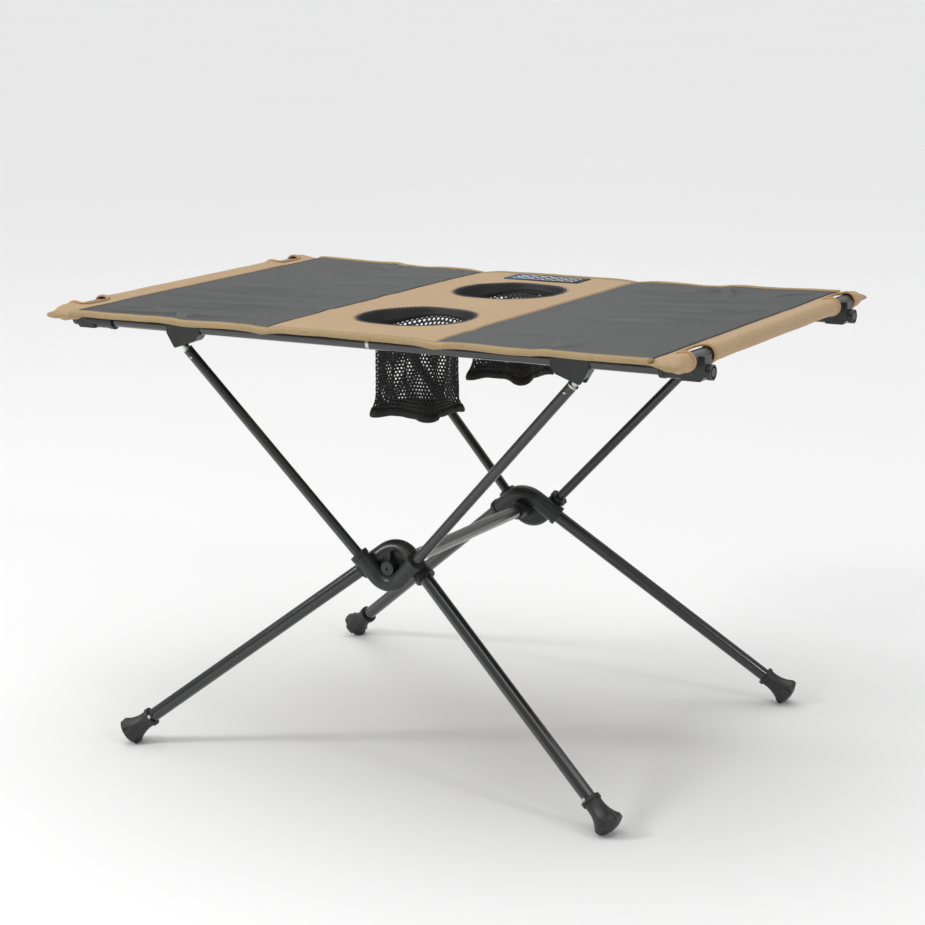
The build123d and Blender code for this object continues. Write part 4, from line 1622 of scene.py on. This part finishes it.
@dataclass
class CupHolder:
    """One cup opening: its facing, its knitted pocket and the hem round the pocket's floor.

    Attributes:
        side: Front or rear.
        drape: The shape of the top.
        palette: The materials.
        net: The recipe of the knitted mesh.
        cell: From hole to hole of the net.
        around: Holes in one round of the net.
        hem_tall: Height of the hem.
        ear: How far the hem's corners are drawn out.
        half_floor: Half the floor's length and width.
    """

    side: str
    drape: Drape
    palette: Palette
    net: Recipe
    cell: float = 3.1 * MM
    around: int = 66
    hem_tall: float = 5 * MM
    ear: float = 6.5 * MM
    half_floor: Vector = field(default_factory=lambda: Vector((30.5 * MM, 26 * MM)))

    def __post_init__(self) -> None:
        """Reads the pocket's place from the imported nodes."""
        self.rim = self.drape.cups[self.side]
        low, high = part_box(f"{self.side}_cup_pocket")
        self.floor = low.z + FLOOR_LIFT[self.side]
        self.mouth_z = high.z
        self.seed = FOLD_SEED[self.side]
        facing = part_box(f"{self.side}_cup_facing")
        self.facing_foot = facing[0].z

    def outline(self, t: float) -> RoundedFrame:
        """The pocket's outline at a share t of the way down.

        Args:
            t: The share, from 0 to 1.

        Returns:
            The outline.
        """
        drawn, taper = 0.85 * smooth(t / 0.24) + 0.15 * smooth(t / 0.95), 4.6 * MM
        half_x = blend(self.rim.half_x - taper, self.half_floor.x, drawn)
        half_y = blend(self.rim.half_y - taper, self.half_floor.y, drawn)
        corner = blend(self.rim.corner - taper, 22 * MM, smooth(t / 0.24))
        return RoundedFrame(self.rim.x, self.rim.y, half_x, half_y, blend(corner, 12 * MM, smooth(t)))

    def hang(self, share: float) -> float:
        """How far the facing hangs below the cloth, least at the near and far sides."""
        return blend(6.5 * MM, self.drape.level - self.facing_foot, abs(math.cos(2 * math.pi * share)) ** 1.5)

    def wall(self, share: float, t: float, lift: float = 0.0) -> Vector:
        """A point of the pocket's wall at a share of the way round and t of the way down.

        Args:
            share: How far round, from 0 to 1.
            t: How far down, from 0 to 1.
            lift: How far it stands off the wall.

        Returns:
            The point.
        """
        point, out = self.outline(t).at(share)
        turn = share * 2 * math.pi
        fold = math.sin(turn * 11 + self.seed) + 0.6 * math.sin(turn * 17 + self.seed * 2)
        fold *= 1.0 * MM * smooth(t / 0.3) * blend(1, 0.35, smooth((t - 0.7) / 0.3))
        loose = 1.3 * MM * noise.noise(Vector((share * 9, t * 3, self.seed)))
        loose *= smooth(t / 0.2) * (1 - 0.5 * t)
        angle = math.atan2(point.y - self.rim.y, point.x - self.rim.x)
        pulled = smooth((t - 0.78) / 0.22) * abs(math.sin(2 * angle)) ** 9
        short = (1 - self.hang(share) / self.hang(0.0)) * (1 - smooth(t / 0.22))
        point = point + out * (fold + loose + self.ear * pulled + lift + 4 * MM * short)
        z = blend(self.drape.level - self.hang(share) + 0.8 * MM, self.floor, t)
        z += 0.8 * MM * noise.noise(Vector((share * 12, 5.0, self.seed))) * t
        z -= 2.2 * MM * pulled * (1 if self.side == "front" else 1.6)
        return Vector((point.x, point.y, z))

    def _net_sheet(self) -> Shell:
        """The wall and floor as triangles, one point for each cell of the net.

        Returns:
            The sheet.
        """
        shell = Shell()
        around = self.around
        depth = self.mouth_z - self.floor
        down = round(depth / (self.cell * 0.9))
        for r in range(down + 1):
            t, shift = r / down, 0.5 * (r % 2)
            for c in range(around):
                share = (c + shift) / around
                shell.points.append(self.wall(share, t))
                shell.flat.append((share * self.outline(0.5).perimeter(), t * depth))
        for r in range(down):
            for c in range(around):
                a, b = r * around + c, r * around + (c + 1) % around
                u, v = a + around, b + around
                shell.faces += [(a, b, u), (b, v, u)] if r % 2 == 0 else [(a, v, u), (a, b, v)]
        self._net_floor(shell, down * around, around, 0.5 * (down % 2))
        return shell

    def _net_floor(self, shell: Shell, first: int, around: int, shift: float) -> None:
        """Adds the floor inside the wall's last row of points.

        Args:
            shell: Where it is added.
            first: The row's first point.
            around: Points in the row.
            shift: How far the row is turned, in cells; not used.
        """
        rim = [shell.points[first + c] for c in range(around)]
        loop = [Vector((p.x, p.y)) for p in rim]
        inner = self.outline(1.0).inset(1.4 * MM)
        points, row = list(loop), 0
        y = self.rim.y - inner.half_y
        while y < self.rim.y + inner.half_y:
            x = self.rim.x - inner.half_x + 0.5 * self.cell * (row % 2)
            while x < self.rim.x + inner.half_x:
                if inner.outside(x, y) < -0.4 * MM:
                    points.append(Vector((x, y)))
                x += self.cell
            y += self.cell * 0.87
            row += 1
        met, _, faces, given, *_ = delaunay_2d_cdt(points, [], [tuple(range(around))], 1, 1e-7)
        index = []
        for k, p in enumerate(met):
            source = [i for i in given[k] if i < around]
            if source:
                index.append(first + source[0])
                continue
            sag = noise.noise(Vector((p.x * 60, p.y * 60, self.seed)))
            index.append(len(shell.points))
            shell.points.append(Vector((p.x, p.y, self.floor + (0.7 * sag + 0.3) * MM)))
            shell.flat.append((p.x, p.y))
        shell.faces += [tuple(index[i] for i in face) for face in faces]

    def _hem(self) -> bpy.types.Object:
        """The solid hem along the lower edge of the pocket.

        Returns:
            The hem.
        """
        shell, steps = Shell(), 120
        depth = self.mouth_z - self.floor
        top = 1 - self.hem_tall / depth
        section = (
            (top, 0.5), (blend(top, 1, 0.5), 0.8), (0.99, 0.8), (1.01, 0.1),
            (1.006, -0.8), (0.98, -0.8), (top, -0.3),
        )
        rows, flat = [], []
        for k in range(steps):
            share = k / steps
            rise = 0.35 * noise.noise(Vector((share * 40, 1.0, self.seed)))
            rows.append([self.wall(share, t, (out + rise) * MM) for t, out in section])
            flat.append([(share * self.outline(1).perimeter(), n * 0.003) for n in range(len(section))])
        shell.add_grid([*rows, rows[0]], [*flat, flat[0]], ring=True)
        made = shell.object(f"{self.side}_cup_pocket_hem", self.palette.of(Finish.MESH))
        belong(made)
        return made

    def _pocket(self) -> bpy.types.Object:
        """The knitted pocket.

        Returns:
            The pocket.
        """
        shell = self._net_sheet()
        made = shell.object(f"{self.side}_cup_net", self.palette.of(Finish.MESH), soft=False)
        self.net.apply(made, Hole=0.55, Thickness=0.55 * MM, Material=self.palette.of(Finish.MESH))
        dress_flat(made)
        belong(made, f"{self.side}_cup_pocket")
        return made

    def _facing(self) -> bpy.types.Object:
        """The smooth black cloth rolled over the opening's rim and down inside it.

        Returns:
            The facing.
        """
        shell, steps = Shell(), 132
        rows, flat = [], []
        for k in range(steps):
            share = k / steps
            down = self.hang(share) / MM
            taper = 4.0 * down / 15.4
            section = (
                (-2.2, -1.5), (-2.4, 0.15), (-1.6, 0.55), (-0.4, 0.6), (0.5, 0.1), (0.9, -0.9), (1.3, -3.5),
                (0.55 * taper + 0.6, -down * 0.6), (taper + 0.4, -down + 0.4), (taper - 0.2, -down),
                (0.5 * taper - 0.3, -down * 0.6), (0.1, -3.5), (-0.3, -1.8),
            )
            ring = []
            for n, (inward, rise) in enumerate(section):
                wave = 0.4 * noise.noise(Vector((share * 14, rise * 0.12, self.seed))) * smooth(-rise / 4)
                point, _ = self.rim.inset((inward + wave) * MM).at(share)
                edge, _ = self.rim.at(share)
                hang = smooth(-(rise + 1.5) / 12)
                level = blend(self.drape.height(edge.x, edge.y), self.drape.level, hang)
                ring.append(Vector((point.x, point.y, level + rise * MM)))
            rows.append(ring)
            flat.append([(share * self.rim.perimeter(), n * 0.003) for n in range(len(section))])
        shell.add_grid([*rows, rows[0]], [*flat, flat[0]], ring=True)
        made = shell.object(f"{self.side}_cup_facing_cloth", self.palette.of(Finish.FACING))
        belong(made, f"{self.side}_cup_facing")
        return made

    def build(self) -> None:
        """Makes the facing, the pocket and its hem."""
        facing, hem = self._facing(), self._hem()
        pocket = self._pocket()
        first = self.outline(0)
        depth = self.mouth_z - self.floor
        flat = (first.perimeter(), depth + self.outline(1).half_y)
        around, turned = self.rim.perimeter(), 4 * MM


@dataclass
class LabelPatch:
    """The woven patch near the rear edge, with a plain pattern.

    Attributes:
        drape: The shape that it lies on.
        palette: The materials.
    """

    drape: Drape
    palette: Palette

    def build(self) -> bpy.types.Object:
        """Makes it, thin and raised above the centre panel.

        Returns:
            The patch.
        """
        low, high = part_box("label_patch")
        shell, columns, rows = Shell(), 40, 16
        points, flat = [], []
        for r in range(rows + 1):
            ys = blend(low.y, high.y, r / rows)
            xs = [blend(low.x, high.x, c / columns) for c in range(columns + 1)]
            points.append([self.drape.point(x, ys, 0.9 * MM) for x in xs])
            flat.append([(x - (low.x + high.x) / 2, ys - (low.y + high.y) / 2) for x in xs])
        shell.add_grid(points, flat)
        made = thicken(shell.object("label_patch_cloth", self.palette.of(Finish.PATCH)), 0.8 * MM)
        belong(made, "label_patch")
        return made


@dataclass
class Stitching:
    """Rows of thread along the seams, hems and cut-outs.

    Attributes:
        drape: The shape of the top.
        sleeves: The sleeves with their cut-outs.
        palette: The materials.
        recipe: The recipe of a row of threads.
        pitch: From thread to thread.
        half_length: Half the length of one thread.
        radius: Of one thread.
        beside_cup: From a cup opening to the row round it.
    """

    drape: Drape
    sleeves: EndSleeves
    palette: Palette
    recipe: Recipe
    pitch: float = 3.4 * MM
    half_length: float = 1.15 * MM
    radius: float = 0.26 * MM
    beside_cup: float = 3.6 * MM

    def _along(self, x: float) -> list[Vector]:
        """A line across the table at x, on the cloth."""
        half, steps = self.drape.edge(x) - 8 * MM, 130
        return [self.drape.point(x, blend(-half, half, k / steps), 0.1 * MM) for k in range(steps + 1)]

    def _edge(self, low: float, high: float, sy: int) -> list[Vector]:
        """A line just inside a long edge, from one x to another.

        Args:
            low: Where it begins.
            high: Where it ends.
            sy: 1 for the rear and -1 for the front.

        Returns:
            Its points.
        """
        steps = max(round((high - low) / (4 * MM)), 2)
        xs = [blend(low, high, k / steps) for k in range(steps + 1)]
        return [self.drape.point(x, sy * (self.drape.edge(x) - 4.6 * MM), 0.75 * MM) for x in xs]

    def _box(self, low: Vector, high: Vector, lift: float) -> list[Vector]:
        """A line round a rectangle on the cloth.

        Args:
            low: The rectangle's least corner.
            high: Its greatest corner.
            lift: How far above the cloth.

        Returns:
            Its points.
        """
        ring = [(low.x, low.y), (high.x, low.y), (high.x, high.y), (low.x, high.y), (low.x, low.y)]
        made = []
        for (ax, ay), (bx, by) in zip(ring, ring[1:]):
            made += [self.drape.point(blend(ax, bx, k / 10), blend(ay, by, k / 10), lift) for k in range(10)]
        return [*made, made[0]]

    def _lay(self, name: str, lines: Sequence[Sequence[Vector]], finish: Finish) -> None:
        """Lays thread along lines.

        Args:
            name: The piece's name.
            lines: The points of each line.
            finish: The thread's finish.
        """
        made = edge_rows(name, lines)
        values = {"Pitch": self.pitch, "Length": self.half_length, "Radius": self.radius}
        self.recipe.apply(made, Material=self.palette.of(finish), **values)
        dress_flat(made)
        belong(made)

    def build(self) -> None:
        """Makes the tan rows and the dark rows."""
        d = self.drape
        tan = [self._along(sx * (d.centre_half - 2.2 * MM)) for sx in (-1, 1)]
        tan += [self._edge(-d.seam, d.seam, sy) for sy in (-1, 1)]
        for sx in (-1, 1):
            row = next(r for r in range(len(self.sleeves.path)) if self.sleeves.arc(r) > 2.4 * MM)
            half = self.sleeves.cut_y - self.sleeves.mouth - 9 * MM
            ys = [blend(-half, half, k / 100) for k in range(101)]
            tan.append([self.sleeves.place(sx, row, y) + Vector((0, 0, 0.15 * MM)) for y in ys])
        self._lay("tan_stitching", tan, Finish.TAN_THREAD)
        dark = [self._along(sx * (d.seam - 1.0 * MM)) for sx in (-1, 1)]
        for cup in d.cups.values():
            ring = [cup.inset(-self.beside_cup).at(k / 90)[0] for k in range(91)]
            dark.append([d.point(p.x, p.y, 0.1 * MM) for p in ring])
        low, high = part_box("label_patch")
        rim = Vector((1.4 * MM, 1.4 * MM, 0))
        dark.append(self._box(low + rim, high - rim, 1.0 * MM))
        self._lay("dark_stitching", dark, Finish.DARK_THREAD)


# ---------------------------------------------------------------- small metal pieces


@dataclass
class Trim:
    """The spring pin on each upper pole and the rivet in each foot.

    Attributes:
        palette: The materials.
        pole_radius: Of the upper poles.
        pin: Radius and height of a pin's outline, in millimetres.
        pin_down: From the pole tip's middle to its pin.
        foot_radius: Of a foot at its collar.
        rivet: Radius and height of a rivet's outline, in millimetres.
        rivet_down: From the foot's top to its rivet.
    """

    palette: Palette
    pole_radius: float = 4.5 * MM
    pin: tuple[tuple[float, float], ...] = ((1.15, 0.0), (1.15, 0.8), (0.9, 1.1), (0.45, 1.25))
    pin_down: float = 8 * MM
    foot_radius: float = 7.0 * MM
    rivet: tuple[tuple[float, float], ...] = ((1.7, 0.0), (1.7, 0.5), (1.3, 0.95), (0.6, 1.15))
    rivet_down: float = 6.5 * MM

    @staticmethod
    def _axis(upper: str, lower: str) -> tuple[Vector, Vector]:
        """Two points on the line through the middles of two nodes' boxes."""
        ends = [sum(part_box(node), Vector()) / 2 for node in (lower, upper)]
        return ends[0], ends[1]

    def _pin(self, corner: str) -> None:
        """The small round pin just under the leg bracket.

        Args:
            corner: Which corner of the table.
        """
        end, start = self._axis(f"{corner}_pole_tip", f"{corner}_upper_pole")
        line = (start - end).normalized()
        out = Vector((0, CORNERS[corner][1], 0))
        out = (out - line * out.dot(line)).normalized()
        at = start - line * self.pin_down + out * (self.pole_radius - 0.6 * MM)
        outline = [(r * MM, h * MM) for r, h in self.pin]
        made = lathe(f"{corner}_pole_pin", outline, at, out, self.palette.of(Finish.FERRULE))
        belong(made, body=f"{corner}_pole")

    def _rivet(self, corner: str) -> None:
        """The small domed rivet near the foot's collar.

        Args:
            corner: Which corner of the table.
        """
        foot, leg = self._axis(f"{corner}_lower_leg", f"{corner}_foot")
        line = (leg - foot).normalized()
        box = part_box(f"{corner}_foot")
        out = Vector((0, CORNERS[corner][1], 0))
        out = (out - line * out.dot(line)).normalized()
        along = (box[1].z - self.rivet_down - foot.z) / line.z
        at = foot + line * along + out * self.foot_radius
        outline = [(r * MM, h * MM) for r, h in self.rivet]
        made = lathe(f"{corner}_foot_rivet", outline, at, out, self.palette.of(Finish.FERRULE))
        belong(made, body=f"{corner}_leg")

    def build(self) -> None:
        """Makes all eight."""
        for corner in CORNERS:
            self._pin(corner)
            self._rivet(corner)


# ---------------------------------------------------------------- studio


@dataclass(frozen=True)
class Lamp:
    """One light, turned to the table.

    Attributes:
        name: Its name.
        kind: SUN or AREA.
        at: Where it stands.
        power: Its strength, as its kind counts it.
        size: Side of an AREA light in metres, or angle of a SUN in radians.
    """

    name: str
    kind: str
    at: tuple[float, float, float]
    power: float
    size: float

    def build(self) -> None:
        """Makes it."""
        lamp = bpy.data.lights.new(self.name, self.kind)
        lamp.energy = self.power
        setattr(lamp, "angle" if self.kind == "SUN" else "size", self.size)
        made = bpy.data.objects.new(self.name, lamp)
        at = Vector(self.at)
        turn = (Vector((0, 0, 0.25)) - at).to_track_quat("-Z", "Y")
        made.matrix_world = Matrix.Translation(at) @ turn.to_matrix().to_4x4()
        bpy.context.scene.collection.objects.link(made)


@dataclass
class Studio:
    """The pale floor, the soft lights and the camera.

    Attributes:
        eye: Where the camera stands.
        right: Its right, as a direction.
        up: Its up, as a direction.
        lens: Focal length for a 36 mm sensor.
        reach: Half the floor's width.
        ambient: Strength of the even light from all round.
        lamps: The lights.
    """

    eye: tuple[float, float, float] = (0.99126, -1.73271, 0.68813)
    right: tuple[float, float, float] = (0.86884, 0.49499, -0.00988)
    up: tuple[float, float, float] = (-0.09927, 0.19372, 0.97602)
    lens: float = 88.98
    reach: float = 60.0
    ambient: float = 0.42
    lamps: tuple[Lamp, ...] = (
        Lamp("sky_light", "SUN", (-0.35, 0.15, 2.2), 1.62, math.radians(75)),
        Lamp("left_light", "AREA", (-1.5, -1.5, 1.6), 18.0, 0.45),
        Lamp("back_light", "AREA", (-1.4, 2.4, 2.2), 3.0, 1.0),
        Lamp("right_light", "AREA", (2.2, -0.6, 1.5), 7.0, 0.35),
    )

    def _floor(self) -> None:
        """A wide pale floor."""
        material, g, shader = start_material("studio_floor_finish")
        place = g.node("ShaderNodeTexCoord").outputs["Object"]
        cloud = g.node("ShaderNodeTexNoise", {"Vector": place, "Scale": 0.7, "Detail": 3.0})
        tone = g.mix(g.ramp(cloud.outputs[0], 0.3, 0.7), (0.875, 0.875, 0.875, 1), (0.885, 0.885, 0.885, 1))
        g.tree.links.new(tone, shader.inputs["Base Color"])
        shader.inputs["Roughness"].default_value = 0.9
        shader.inputs["Specular IOR Level"].default_value = 0.1
        r = self.reach
        shell = Shell()
        corners = [Vector((x, y, 0)) for y in (-r, r) for x in (-r, r)]
        shell.add_grid([corners[:2], corners[2:]], [[(0, 0), (1, 0)], [(0, 1), (1, 1)]])
        shell.object("studio_floor", material, soft=False)

    def _camera(self) -> None:
        """The camera, at the angle that the table is seen from."""
        lens = bpy.data.cameras.new("view_camera")
        lens.lens, lens.sensor_width, lens.clip_end = self.lens, 36.0, 300.0
        made = bpy.data.objects.new("view_camera", lens)
        right, up = Vector(self.right).normalized(), Vector(self.up)
        back = right.cross(up).normalized()
        up = back.cross(right)
        made.matrix_world = Matrix.Translation(self.eye) @ Matrix((right, up, back)).transposed().to_4x4()
        bpy.context.scene.collection.objects.link(made)
        bpy.context.scene.camera = made

    def build(self) -> None:
        """Sets it all up."""
        self._floor()
        world = bpy.data.worlds.new("studio_world")
        bpy.context.scene.world = world
        world.use_nodes = True
        backdrop = next(n for n in world.node_tree.nodes if n.type == "BACKGROUND")
        backdrop.inputs["Color"].default_value = (1.0, 1.0, 1.0, 1.0)
        backdrop.inputs["Strength"].default_value = self.ambient
        for lamp in self.lamps:
            lamp.build()
        self._camera()


def main() -> None:
    """Builds the table's looks in order."""
    logging.basicConfig(level=logging.INFO, format="%(message)s")
    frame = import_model()
    scene = bpy.context.scene
    scene.view_settings.view_transform = "Standard"
    palette = Palette()
    palette.dress_frame(frame)
    drape = Drape()
    TopPanels(drape, palette).build()
    sleeves = EndSleeves(drape, palette)
    for side in ENDS:
        sleeves.build(side)
    binding = EdgeBinding(drape, sleeves, palette)
    for side in SIDES:
        binding.build(side)
    NotchPiping(sleeves, palette, piping_recipe()).build()
    net = net_recipe()
    for side in SIDES:
        CupHolder(side, drape, palette, net).build()
    LabelPatch(drape, palette).build()
    Stitching(drape, sleeves, palette, stitch_recipe()).build()
    Trim(palette).build()
    Studio().build()


if __name__ == "__main__":
    main()
